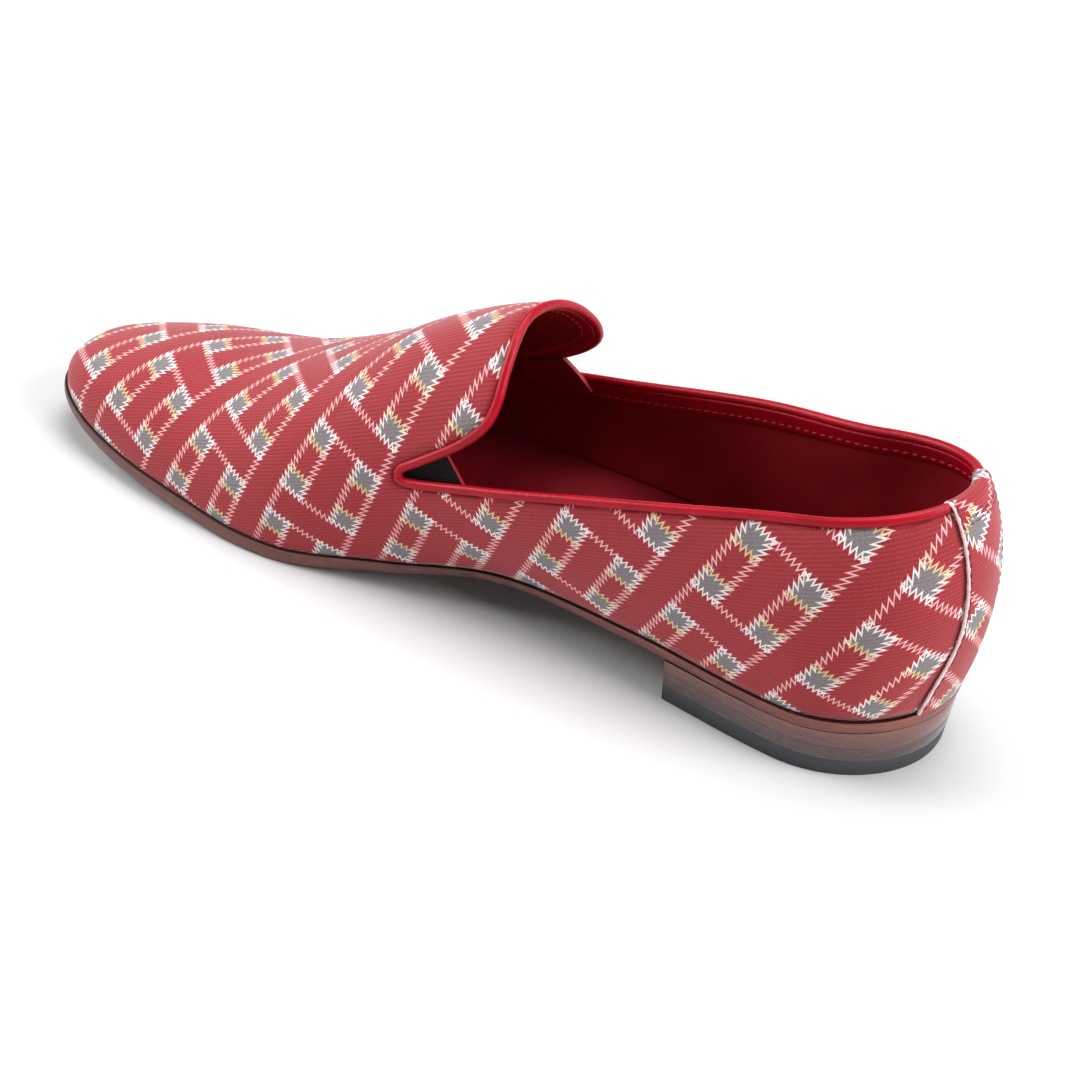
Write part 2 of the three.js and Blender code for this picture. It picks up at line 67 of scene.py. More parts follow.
innerSide = {
    "x":     stations,
    "lean":  [11.0, 4.6, 12.4, 22.4, 8.7, 1.7, 0.2, 0.1, 0.9],
    "rise":  [0.62, 0.56, 0.60, 0.50, 0.53, 0.51, 0.49, 0.52, 0.59],
    "crown": [0.62, 0.59, 0.66, 0.66, 0.64, 0.62, 0.62, 0.62, 0.62],
}
outerSide = {
    "x":     stations,
    "lean":  [11.0, 6.1, 10.9, 12.6, 7.4, 2.5, 0.7, 0.4, 0.9],
    "rise":  [0.62, 0.54, 0.62, 0.46, 0.52, 0.52, 0.49, 0.51, 0.59],
    "crown": [0.62, 0.59, 0.66, 0.66, 0.64, 0.62, 0.62, 0.62, 0.62],
}
topline = {
    "x": [0, 14, 32, 60, 100, 135, 162, 200],
    "z": [86.8, 82.8, 77.9, 70.2, 58.0, 47.4, 40.4, 40.4],
}
tongue = {
    "share": [0.0, 0.08, 0.16, 0.25, 0.36, 0.5, 0.7, 0.85, 1.0],
    "x":     [162, 151.2, 142.0, 136.2, 134.6, 135.6, 137.4, 138.5, 138.7],
}
notch = {"x": 162, "round": 4.0}

knownSlopes = {}


# smooth curve through one column of a table
def readTable(table, column, at, key="x"):
    name = (id(table), column)
    if name not in knownSlopes:
        xs = np.asarray(table[key], float)
        ys = np.asarray(table[column], float)
        slopes = np.gradient(ys, xs)
        slopes[1:-1] = (ys[2:] - ys[:-2]) / (xs[2:] - xs[:-2])
        knownSlopes[name] = (xs, ys, slopes)
    xs, ys, slopes = knownSlopes[name]
    at = np.asarray(at, float)
    i = np.clip(np.searchsorted(xs, at, side="left") - 1, 0, len(xs) - 2)
    run = xs[i + 1] - xs[i]
    t = (at - xs[i]) / run
    start = (2 * t**3 - 3 * t**2 + 1) * ys[i] + (t**3 - 2 * t**2 + t) * run * slopes[i]
    end = (3 * t**2 - 2 * t**3) * ys[i + 1] + (t**3 - t**2) * run * slopes[i + 1]
    return start + end


# halving search for where a rising function passes zero, for many places at once
def findZero(low, high, rising, steps=30):
    a = np.array(low, float)
    b = np.array(high, float)
    for _ in range(steps):
        middle = (a + b) / 2
        below = rising(middle) < 0
        a = np.where(below, middle, a)
        b = np.where(below, b, middle)
    return (a + b) / 2


def smoothStep(low, high, at):
    t = np.clip((at - low) / (high - low), 0, 1)
    return t * t * (3 - 2 * t)


def unit(a):
    return a / np.linalg.norm(a, axis=-1, keepdims=True)


# length walked up to each point of a row, or along one way of a grid
def runAlong(points, axis=0):
    steps = np.linalg.norm(np.diff(points, axis=axis), axis=-1)
    return np.insert(np.cumsum(steps, axis=axis), 0, 0, axis=axis)


# rows of numbers read between their places
def readBetween(rows, run, at):
    return np.stack([np.interp(at, run, column) for column in rows.T], -1)


quarterTurn = math.pi / 2
middleRun = last["length"] - last["heelRound"] - last["toeRound"]
wholeRun = (last["heelRound"] + last["toeRound"]) * quarterTurn + middleRun
heelShare = last["heelRound"] * quarterTurn / wholeRun
toeShare = last["toeRound"] * quarterTurn / wholeRun
toeStart = last["length"] - last["toeRound"]


# place along the sole for a share u of the outline from heel to toe
def stationX(u):
    heel = last["heelRound"] * (1 - np.cos(np.clip(u / heelShare, 0, 1) * quarterTurn))
    toe = toeStart + last["toeRound"] * np.sin(np.clip((u - 1 + toeShare) / toeShare, 0, 1) * quarterTurn)
    middle = last["heelRound"] + (u - heelShare) * wholeRun
    return np.where(u < heelShare, heel, np.where(u > 1 - toeShare, toe, middle))


def stationOf(x):
    return float(findZero(0, 1, lambda u: stationX(u) - x))


def endShape(x):
    heel = np.sqrt(np.clip(1 - (1 - np.clip(x / last["heelRound"], 0, 1)) ** 2, 0, 1))
    reach = np.clip((x - toeStart) / last["toeRound"], 0, 1)
    toe = np.clip(1 - reach ** last["toePower"], 0, 1) ** (1 / last["toePower"])
    return np.where(x < last["heelRound"], heel, np.where(x > toeStart, toe, 1.0))


def underside(x):
    return np.maximum(0, readTable(sole, "under", x))


def soleTop(x):
    return underside(x) + readTable(sole, "edge", x)


def outlinePoint(u, side, inset):
    x = stationX(u)
    half = (readTable(sole, "half", x) - inset) * endShape(x)
    y = readTable(sole, "centre", x) + side * half
    return inset + x * (last["length"] - 2 * inset) / last["length"], y


# small steps for slopes: share of the outline, millimetres along the ridge, and the two ways over the last
probe = {"outline": 1e-4, "ridge": 0.5, "u": 0.004, "v": 0.02, "ridgeEnd": 0.01}


# surface of the last: u from heel to toe, v from the inner feather (0) over the ridge (1) to the outer (2)
def lastPoint(u, v):
    u, v = np.broadcast_arrays(np.asarray(u, float), np.asarray(v, float))
    flip = (u < 0) | (u > 1)
    v = np.where(flip, 2 - v, v)
    u = np.where(u < 0, -u, np.where(u > 1, 2 - u, u))
    side = np.where(v <= 1, 1.0, -1.0)
    t = np.where(v <= 1, v, 2 - v)[..., None]
    x = stationX(u)
    inset = last["featherInset"]
    footX, footY = outlinePoint(u, side, inset)
    beforeX, beforeY = outlinePoint(np.maximum(u - probe["outline"], 0), side, inset)
    afterX, afterY = outlinePoint(np.minimum(u + probe["outline"], 1), side, inset)
    outX = (beforeY - afterY) * side
    outY = (afterX - beforeX) * side
    size = np.hypot(outX, outY)
    footZ = soleTop(footX) + last["gap"]
    crestX = readTable(ridge, "along", x)
    crestY = readTable(ridge, "across", x)
    crestZ = readTable(ridge, "height", x)
    low = np.maximum(x - probe["ridge"], 0)
    high = np.minimum(x + probe["ridge"], last["length"])
    climb = readTable(ridge, "height", high) - readTable(ridge, "height", low)
    slope = climb / (readTable(ridge, "along", high) - readTable(ridge, "along", low))
    swell = {}
    for column in ("lean", "rise", "crown"):
        swell[column] = np.where(side > 0, readTable(innerSide, column, x), readTable(outerSide, column, x))
    back = (footX - crestX) * swell["crown"]
    foot = np.stack([footX, footY, footZ], -1)
    crest = np.stack([crestX, crestY, crestZ], -1)
    cheekX = footX + outX / size * swell["lean"]
    cheekY = footY + outY / size * swell["lean"]
    cheek = np.stack([cheekX, cheekY, footZ + swell["rise"] * (crestZ - footZ)], -1)
    brow = np.stack([crestX + back, crestY + (footY - crestY) * swell["crown"], crestZ + back * slope], -1)
    s = 1 - t
    return s**3 * foot + 3 * s**2 * t * cheek + 3 * s * t**2 * brow + t**3 * crest


def outwardAt(u, v):
    u, v = np.broadcast_arrays(np.asarray(u, float), np.asarray(v, float))
    inner = np.clip(u, probe["ridgeEnd"], 1 - probe["ridgeEnd"])
    place = np.where(np.abs(v - 1) < probe["v"], inner, u)
    along = lastPoint(place + probe["u"], v) - lastPoint(place - probe["u"], v)
    higher = np.minimum(v + probe["v"], 2)
    lower = np.maximum(v - probe["v"], 0)
    return unit(np.cross(lastPoint(place, higher) - lastPoint(place, lower), along))


def offsetPoint(u, v, distance):
    return lastPoint(u, v) + outwardAt(u, v) * distance


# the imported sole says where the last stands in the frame
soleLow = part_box("outsole")[0]
lowestY = outlinePoint(np.linspace(0, 1, 400), -1, 0)[1].min()
shift = np.array([soleLow.x * 1000, soleLow.y * 1000 - lowestY, 0])


def toFrame(points):
    return (np.asarray(points, float) + shift) * 0.001


def makeMesh(name, points, faces, materials, faceMaterial=None, cornerUv=None):
    mesh = bpy.data.meshes.new(name)
    mesh.from_pydata(toFrame(points).tolist(), [], [list(map(int, f)) for f in faces])
    for m in materials:
        mesh.materials.append(m)
    if faceMaterial is not None:
        mesh.polygons.foreach_set("material_index", np.asarray(faceMaterial, np.int32))
    if cornerUv is not None:
        layer = mesh.uv_layers.new(name="cloth")
        layer.data.foreach_set("uv", np.asarray(cornerUv, np.float32).ravel())
    mesh.polygons.foreach_set("use_smooth", np.full(len(mesh.polygons), True))
    mesh.update()
    made = bpy.data.objects.new(name, mesh)
    bpy.context.scene.collection.objects.link(made)
    return made


# the collar edge: places on the last from the back seam, round the notch and up the tongue
# the searches run to these shares of the last and of the tongue
collarSet = {
    "quarterSteps": 150, "notchSteps": 48, "tongueSteps": 80, "spacing": 0.6,
    "quarterEnd": 0.8, "tongueEnd": 0.9, "flapFrom": 0.16,
}


def toplineZ(x):
    return readTable(topline, "z", np.clip(x, topline["x"][0], topline["x"][-1]))


def sideV(t, side):
    return t if side > 0 else 2 - t


def quarterPlaces(u, side, lowered=0.0):
    u = np.asarray(u, float)

    def above(t):
        p = lastPoint(u, sideV(t, side))
        return p[..., 2] - toplineZ(p[..., 0]) + lowered

    t = findZero(0, 1, above)
    return np.stack([u, sideV(t, side)], -1)


def tonguePlaces(share, side, notchT):
    v = sideV(notchT + (1 - notchT) * share, side)
    target = readTable(tongue, "x", share, "share")
    u = findZero(heelShare, collarSet["tongueEnd"], lambda s: lastPoint(s, v)[..., 0] - target)
    return np.stack([u, v], -1)


def collarSide(side):
    dense = np.linspace(0, collarSet["quarterEnd"], 900)
    xs = lastPoint(*quarterPlaces(dense, side).T)[:, 0]

    def quarterU(x):
        return float(np.interp(x, xs, dense))

    corner = quarterPlaces([quarterU(notch["x"])], side)[0]
    notchT = sideV(corner[1], side)
    turnX = notch["x"] - notch["round"]
    shares = np.linspace(0, collarSet["flapFrom"], 200)
    tongueX = lastPoint(*tonguePlaces(shares, side, notchT).T)[:, 0]
    firstShare = float(np.interp(-turnX, -tongueX, shares))
    quarter = quarterPlaces(np.linspace(0, quarterU(turnX), collarSet["quarterSteps"]), side)
    flap = tonguePlaces(np.linspace(firstShare, 1, collarSet["tongueSteps"]), side, notchT)
    k = np.linspace(0, 1, collarSet["notchSteps"])[1:-1, None]
    turn = (1 - k) ** 2 * quarter[-1] + 2 * k * (1 - k) * corner + k**2 * flap[0]
    return np.concatenate([quarter, turn, flap])


def evenly(places):
    run = runAlong(lastPoint(*places.T))
    count = int(round(run[-1] / collarSet["spacing"]))
    return readBetween(places, run, np.linspace(0, run[-1], count + 1))


innerPlaces = evenly(collarSide(1))
outerPlaces = evenly(collarSide(-1))
collarPlaces = np.concatenate([innerPlaces, outerPlaces[:-1][::-1]])
collarTip = len(innerPlaces) - 1
collarEdge = lastPoint(*collarPlaces.T)
closed = np.concatenate([collarEdge[-2:-1], collarEdge, collarEdge[1:2]])
collarAlong = unit(closed[2:] - closed[:-2])
collarOut = outwardAt(*collarPlaces.T)
collarIn = unit(np.cross(collarAlong, collarOut))  # into the opening
print("collar edge:", len(collarEdge), "places")

# the side view of the opening closes well above the shoe and behind it
viewTop = 150
viewBack = -40
spotsAtOnce = 3000


# side view of the opening, drawn back from the collar edge
def openingView(cutBack, side):
    cut = collarEdge - collarIn * cutBack
    half = cut[: collarTip + 1] if side > 0 else cut[collarTip:][::-1]
    view = half[:, [0, 2]]
    far = np.array([[view[-1, 0], viewTop], [viewBack, viewTop], [viewBack, view[0, 1]]])
    return np.concatenate([view, far])


# distance from the opening's edge in side view: below it positive, inside the opening negative
def edgeDistance(points, views, inner):
    flat = points[:, [0, 2]]
    found = np.empty(len(flat))
    for side, a in views.items():
        rows = np.flatnonzero(inner == (side > 0))
        b = np.roll(a, -1, axis=0)
        run = b - a
        rise = np.where(run[:, 1] == 0, 1, run[:, 1])
        for part in np.array_split(rows, max(1, len(rows) // spotsAtOnce)):
            p = flat[part][:, None, :]
            t = np.clip(((p - a) * run).sum(-1) / (run**2).sum(-1), 0, 1)
            far = np.sqrt((((a + t[..., None] * run) - p) ** 2).sum(-1)).min(1)
            crosses = (a[:, 1] > p[..., 1]) != (b[:, 1] > p[..., 1])
            at = a[:, 0] + (p[..., 1] - a[:, 1]) * run[:, 0] / rise
            inside = (crosses & (p[..., 0] < at)).sum(1) % 2 == 1
            found[part] = np.where(inside, -far, far)
    return found


# a grid over the last, trimmed at the opening: places (u, v), faces, and distance below the edge
def trimmedGrid(columns, rises, cutBack):
    wide = 2 * rises + 1
    u, v = np.meshgrid(np.linspace(0, 1, columns + 1), np.linspace(0, 2, wide), indexing="ij")
    places = np.stack([u.ravel(), v.ravel()], -1)
    views = {side: openingView(cutBack, side) for side in (1, -1)}

    def below(at):
        return edgeDistance(lastPoint(*at.T), views, at[:, 1] <= 1)

    depth = below(places)
    i, j = np.meshgrid(np.arange(columns), np.arange(wide - 1), indexing="ij")
    a = (i * wide + j).ravel()
    quads = np.stack([a, a + 1, a + wide + 1, a + wide], -1)
    kept = depth[quads] > 0
    faces = quads[kept.all(1)].tolist()
    mixed = quads[kept.any(1) & ~kept.all(1)]

    def isCut(p, q):
        return (depth[p] > 0) != (depth[q] > 0)

    pairs = set()
    for quad in mixed:
        for p, q in zip(quad, np.roll(quad, -1)):
            if isCut(p, q):
                pairs.add((min(p, q), max(p, q)))
    pairs = sorted(pairs)
    first = places[[p for p, q in pairs]]
    second = places[[q for p, q in pairs]]
    sign = np.where(depth[[p for p, q in pairs]] > 0, -1.0, 1.0)
    share = findZero(np.zeros(len(pairs)), np.ones(len(pairs)),
                     lambda t: sign * below(first + t[:, None] * (second - first)), 18)
    added = first + share[:, None] * (second - first)
    number = {pair: len(places) + k for k, pair in enumerate(pairs)}
    for quad in mixed:
        ring = []
        for p, q in zip(quad, np.roll(quad, -1)):
            if depth[p] > 0:
                ring.append(int(p))
            if isCut(p, q):
                ring.append(number[(min(p, q), max(p, q))])
        if len(ring) > 2:
            faces.append(ring)
    places = np.concatenate([places, added])
    depth = np.concatenate([depth, np.zeros(len(added))])
    return places, faces, depth, wide


# shader helpers
def newMaterial(name):
    made = bpy.data.materials.new(name)
    made.use_nodes = True
    made.node_tree.nodes.clear()
    return made, made.node_tree


def rgb(red, green, blue):
    parts = []
    for part in (red, green, blue):
        c = part / 255
        parts.append(c / 12.92 if c <= 0.04045 else ((c + 0.055) / 1.055) ** 2.4)
    return (*parts, 1.0)


def put(tree, value, socket):
    if isinstance(value, bpy.types.NodeSocket):
        tree.links.new(value, socket)
    else:
        socket.default_value = value


# gives the function that adds one sum to a node tree
def sumsIn(tree):
    def calc(operation, *values, clamp=False):
        node = tree.nodes.new("ShaderNodeMath")
        node.operation = operation
        node.use_clamp = clamp
        for value, socket in zip(values, node.inputs):
            put(tree, value, socket)
        return node.outputs[0]
    return calc


def mixColour(tree, share, first, second, blend="MIX"):
    node = tree.nodes.new("ShaderNodeMix")
    node.data_type = "RGBA"
    node.blend_type = blend
    put(tree, share, node.inputs[0])
    put(tree, first, node.inputs[6])
    put(tree, second, node.inputs[7])
    return node.outputs[2]


def noise(tree, where, scale, detail, rough, stretch=(1, 1, 1)):
    place = tree.nodes.new("ShaderNodeMapping")
    place.inputs["Scale"].default_value = stretch
    tree.links.new(where, place.inputs["Vector"])
    node = tree.nodes.new("ShaderNodeTexNoise")
    node.inputs["Scale"].default_value = scale
    node.inputs["Detail"].default_value = detail
    node.inputs["Roughness"].default_value = rough
    tree.links.new(place.outputs[0], node.inputs["Vector"])
    return node.outputs[0]


def ramp(tree, share, stops):
    node = tree.nodes.new("ShaderNodeValToRGB")
    marks = node.color_ramp.elements
    while len(marks) < len(stops):
        marks.new(0.5)
    for mark, (at, colour) in zip(marks, stops):
        mark.position = at
        mark.color = colour
    tree.links.new(share, node.inputs[0])
    return node.outputs[0]


def splitXyz(tree, vector):
    node = tree.nodes.new("ShaderNodeSeparateXYZ")
    tree.links.new(vector, node.inputs[0])
    return node.outputs


def bodyCoordinates(tree):
    return tree.nodes.new("ShaderNodeTexCoord").outputs["Object"]


def clothCoordinates(tree):
    node = tree.nodes.new("ShaderNodeUVMap")
    node.uv_map = "cloth"
    return node.outputs[0]


# closing part of every finish: colour, gloss and relief; fixed numbers sit on the shader's own sockets
def finishOff(tree, colour, roughness, height=None, strength=0.3, depth=0.0003, **fixed):
    shader = tree.nodes.new("ShaderNodeBsdfPrincipled")
    put(tree, colour, shader.inputs["Base Color"])
    put(tree, roughness, shader.inputs["Roughness"])
    for socket, value in fixed.items():
        shader.inputs[socket.replace("_", " ")].default_value = value
    if height is not None:
        bump = tree.nodes.new("ShaderNodeBump")
        bump.inputs["Strength"].default_value = strength
        bump.inputs["Distance"].default_value = depth
        tree.links.new(height, bump.inputs["Height"])
        tree.links.new(bump.outputs[0], shader.inputs["Normal"])
    out = tree.nodes.new("ShaderNodeOutputMaterial")
    tree.links.new(shader.outputs[0], out.inputs["Surface"])
    return shader


# woven cloth: blocks of four grey squares between plain red bands, every edge a zigzag
# one unit is the step from square to square; a block is two steps each way
cloth = {
    "step": 19.5, "halfLong": 0.185, "halfWide": 0.2, "beside": 0.05,
    "teethAlong": 9, "teethAcross": 11, "lean": -0.9, "endLean": 0.2, "tooth": 0.056,
    "thinLine": 0.034, "thickLine": 0.038, "soft": 0.022, "goldShare": 0.9,
    "ribs": 12, "weftRatio": 1.6, "speckle": 2.2, "ribInRed": 0.36, "ribInGrey": 0.24, "patches": 0.2,
    "weaveRelief": 0.3, "lineRelief": 0.5, "threadRelief": 0.4, "rough": 0.82,
    "red": rgb(184, 61, 67), "redDeep": rgb(124, 26, 35),
    "grey": rgb(148, 140, 142), "greyDark": rgb(98, 90, 94),
    "pink": rgb(250, 186, 188), "white": rgb(246, 234, 232), "gold": rgb(236, 204, 146),
}


def clothFinish():
    made, tree = newMaterial("woven_cloth")
    where = clothCoordinates(tree)
    split = splitXyz(tree, where)
    c = sumsIn(tree)
    halfLong = cloth["halfLong"]
    halfWide = cloth["halfWide"]
    a = c("MULTIPLY", split[0], 2.0)  # along the bands, in steps
    b = c("MULTIPLY", split[1], 2.0)  # across them
    inBlockA = c("PINGPONG", a, 1.0)
    inBlockB = c("PINGPONG", b, 1.0)
    besideA = c("LESS_THAN", c("ABSOLUTE", c("SUBTRACT", inBlockA, 0.5)), halfLong + cloth["beside"])
    besideB = c("LESS_THAN", c("ABSOLUTE", c("SUBTRACT", inBlockB, 0.5)), halfWide + cloth["beside"])

    # how far a spot lies outside a zigzag edge whose teeth lean over
    def pastEdge(place, at, along, teeth, lean):
        off = c("SUBTRACT", place, at)
        slid = c("SUBTRACT", along, c("MULTIPLY", off, lean))
        turns = c("PINGPONG", c("MULTIPLY", slid, 2.0 * teeth), 1.0)
        swing = c("SUBTRACT", c("MULTIPLY", turns, 2.0), 1.0)
        return c("SUBTRACT", off, c("MULTIPLY", swing, cloth["tooth"]))

    # the drawn line is a little thicker beside a square
    def line(past, beside):
        width = c("ADD", cloth["thinLine"], c("MULTIPLY", beside, cloth["thickLine"] - cloth["thinLine"]))
        return c("DIVIDE", c("SUBTRACT", width, c("ABSOLUTE", past)), cloth["soft"], clamp=True)

    pastBand = pastEdge(inBlockB, 0.5 + halfWide, a, cloth["teethAlong"], cloth["lean"])
    pastBar = pastEdge(inBlockB, 0.5 - halfWide, a, cloth["teethAlong"], -cloth["lean"])
    pastEnd = pastEdge(inBlockA, 0.5 + halfLong, b, cloth["teethAcross"], cloth["endLean"])
    pastFacing = pastEdge(inBlockA, 0.5 - halfLong, b, cloth["teethAcross"], -cloth["endLean"])
    withinA = c("LESS_THAN", inBlockA, 0.5 + cloth["beside"] + halfLong)
    withinB = c("LESS_THAN", inBlockB, 0.5 + cloth["beside"] + halfWide)
    bandLine = line(pastBand, besideA)
    barLine = c("MULTIPLY", line(pastBar, besideA), withinA)
    endLine = c("MULTIPLY", line(pastEnd, besideB), withinB)
    facing = c("MULTIPLY", line(pastFacing, 1.0), besideB)
    lines = c("MAXIMUM", c("MAXIMUM", bandLine, barLine), endLine)

    # the grey squares stop at their own teeth
    square = 1.0
    for past, side in ((pastBand, -1), (pastBar, 1), (pastEnd, -1), (pastFacing, 1)):
        square = c("MULTIPLY", square, c("DIVIDE", past, side * cloth["soft"], clamp=True))

    # ribs of the ground run along the shoe, the cloth being cut on the bias
    ribTurn = 2 * math.pi * cloth["ribs"]
    rib = c("SINE", c("MULTIPLY", c("ADD", a, b), ribTurn))
    weft = c("SINE", c("MULTIPLY", c("SUBTRACT", a, b), ribTurn * cloth["weftRatio"]))
    weave = c("ADD", c("MULTIPLY", rib, 0.5), c("MULTIPLY", c("MULTIPLY", weft, rib), 0.5))
    threads = noise(tree, where, 110, 3, 0.6)
    patches = noise(tree, where, 1.6, 2, 0.5)
    speckle = c("ADD", c("MULTIPLY", c("SUBTRACT", threads, 0.5), cloth["speckle"]), 0.5)
    shade = c("ADD", c("MULTIPLY", weave, cloth["ribInRed"]), speckle, clamp=True)
    ground = mixColour(tree, shade, cloth["redDeep"], cloth["red"])
    ground = mixColour(tree, c("MULTIPLY", patches, cloth["patches"]), ground, cloth["redDeep"])
    greyShade = c("ADD", c("MULTIPLY", weave, cloth["ribInGrey"]), speckle, clamp=True)
    greyCloth = mixColour(tree, greyShade, cloth["greyDark"], cloth["grey"])
    lineColour = mixColour(tree, c("MULTIPLY", besideA, besideB), cloth["pink"], cloth["white"])
    colour = mixColour(tree, square, ground, greyCloth)
    colour = mixColour(tree, lines, colour, lineColour)
    colour = mixColour(tree, c("MULTIPLY", facing, cloth["goldShare"]), colour, cloth["gold"])
    raised = c("MULTIPLY", c("MAXIMUM", lines, facing), cloth["lineRelief"])
    height = c("ADD", c("MULTIPLY", weave, cloth["weaveRelief"]), raised)
    height = c("ADD", height, c("MULTIPLY", threads, cloth["threadRelief"]))
    finishOff(tree, colour, cloth["rough"], height, 0.55, 0.00035,
              Sheen_Weight=0.3, Sheen_Roughness=0.4, Specular_IOR_Level=0.3)
    return made


def leatherFinish(name, light, dark, grain, rough, strength, shine=0.35):
    made, tree = newMaterial(name)
    where = bodyCoordinates(tree)
    c = sumsIn(tree)
    pores = tree.nodes.new("ShaderNodeTexVoronoi")
    pores.inputs["Scale"].default_value = grain
    tree.links.new(where, pores.inputs["Vector"])
    cloud = noise(tree, where, 60, 4, 0.6)
    fine = noise(tree, where, grain * 1.7, 2, 0.5)
    colour = mixColour(tree, c("MULTIPLY", cloud, 1.3, clamp=True), dark, light)
    gloss = c("ADD", rough - 0.08, c("MULTIPLY", cloud, 0.18))
    height = c("ADD", c("MULTIPLY", pores.outputs[0], 0.7), c("MULTIPLY", fine, 0.3))
    finishOff(tree, colour, gloss, height, strength, 0.00025, Specular_IOR_Level=shine)
    return made


# burnished leather, stacked or split: fine level streaks, each height from the floor its own shade
burnish = {
    "rough": 0.46, "wander": 0.22, "streak": 2600, "streakShare": 0.75, "streakTint": rgb(34, 20, 18),
    "scuff": rgb(176, 128, 104), "scuffFrom": 0.52, "scuffShare": 0.9,
    # painted shade for the line where the sole meets the upper, and the upward tilt from which faces take
    # it
    "paintedFeatherShade": rgb(46, 18, 16), "paintedShadeFrom": 0.35,
}


def burnishedFinish(name, stops, low, high, coat):
    made, tree = newMaterial(name)
    where = bodyCoordinates(tree)
    c = sumsIn(tree)
    wander = c("MULTIPLY", c("SUBTRACT", noise(tree, where, 30, 3, 0.6), 0.5), burnish["wander"])
    level = c("DIVIDE", c("SUBTRACT", splitXyz(tree, where)[2], low), high - low)
    base = ramp(tree, c("ADD", level, wander, clamp=True), stops)
    lines = noise(tree, where, 1.0, 3, 0.65, (40, 40, burnish["streak"]))
    scuffs = noise(tree, where, 220, 4, 0.7, (1, 1, 3))
    streaks = c("MULTIPLY", lines, burnish["streakShare"], clamp=True)
    colour = mixColour(tree, streaks, base, burnish["streakTint"], "MULTIPLY")
    worn = c("SUBTRACT", scuffs, burnish["scuffFrom"], clamp=True)
    worn = c("MULTIPLY", worn, burnish["scuffShare"], clamp=True)
    colour = mixColour(tree, worn, colour, burnish["scuff"])
    # painted shade: the more a face turns up, the darker it gets, standing for the shadow line under the
    # upper
    facing = splitXyz(tree, tree.nodes.new("ShaderNodeNewGeometry").outputs["Normal"])
    paintedShadeShare = c("MULTIPLY", c("SUBTRACT", facing[2], burnish["paintedShadeFrom"]), 3.0, clamp=True)
    colour = mixColour(tree, paintedShadeShare, colour, burnish["paintedFeatherShade"])  # painted shade: faces turned up, where the sole meets the upper, darkened to stand for the shadow line under the upper
    gloss = c("ADD", burnish["rough"] - 0.1, c("MULTIPLY", lines, 0.25))
    finishOff(tree, colour, gloss, lines, 0.25, 0.0002,
              Coat_Weight=coat, Coat_Roughness=0.2, Specular_IOR_Level=0.35)
    return made


rubber = {
    "dark": rgb(22, 24, 28), "light": rgb(62, 66, 74), "brown": rgb(72, 62, 64), "brownShare": 0.7,
    "haze": rgb(40, 44, 52), "hazeShare": 0.4, "rough": 0.45,
}


# speckled rubber, browner toward the lift above it
def rubberFinish():
    made, tree = newMaterial("heel_rubber_dark")
    where = bodyCoordinates(tree)
    c = sumsIn(tree)
    speck = noise(tree, where, 700, 4, 0.7)
    haze = noise(tree, where, 40, 3, 0.6)
    level = c("MULTIPLY", splitXyz(tree, where)[2], 150.0, clamp=True)
    colour = mixColour(tree, speck, rubber["dark"], rubber["light"])
    colour = mixColour(tree, c("MULTIPLY", level, rubber["brownShare"]), colour, rubber["brown"])
    colour = mixColour(tree, c("MULTIPLY", haze, rubber["hazeShare"]), colour, rubber["haze"])
    gloss = c("ADD", rubber["rough"], c("MULTIPLY", haze, 0.25))
    finishOff(tree, colour, gloss, speck, 0.25, 0.0003)
    return made


elastic = {
    "dark": rgb(6, 5, 8), "light": rgb(30, 27, 34), "ribShade": 0.3, "rough": 0.85,
    "crossRatio": 1.8, "crossRelief": 0.35,
}


def goreFinish():
    made, tree = newMaterial("black_elastic")
    where = clothCoordinates(tree)
    split = splitXyz(tree, where)
    c = sumsIn(tree)
    rib = c("SINE", c("MULTIPLY", split[1], 2 * math.pi))
    cross = c("SINE", c("MULTIPLY", split[0], 2 * math.pi * elastic["crossRatio"]))
    height = c("ADD", rib, c("MULTIPLY", cross, elastic["crossRelief"]))
    fuzz = noise(tree, where, 14, 3, 0.6)
    shade = c("ADD", c("MULTIPLY", rib, elastic["ribShade"]), fuzz, clamp=True)
    colour = mixColour(tree, shade, elastic["dark"], elastic["light"])
    finishOff(tree, colour, elastic["rough"], height, 0.6, 0.0003, Specular_IOR_Level=0.25)
    return made


def threadFinish(name, light, dark):
    made, tree = newMaterial(name)
    twist = noise(tree, bodyCoordinates(tree), 1800, 3, 0.6)
    colour = mixColour(tree, twist, dark, light)
    finishOff(tree, colour, 0.75, twist, 0.4, 0.0002, Sheen_Weight=0.1)
    return made


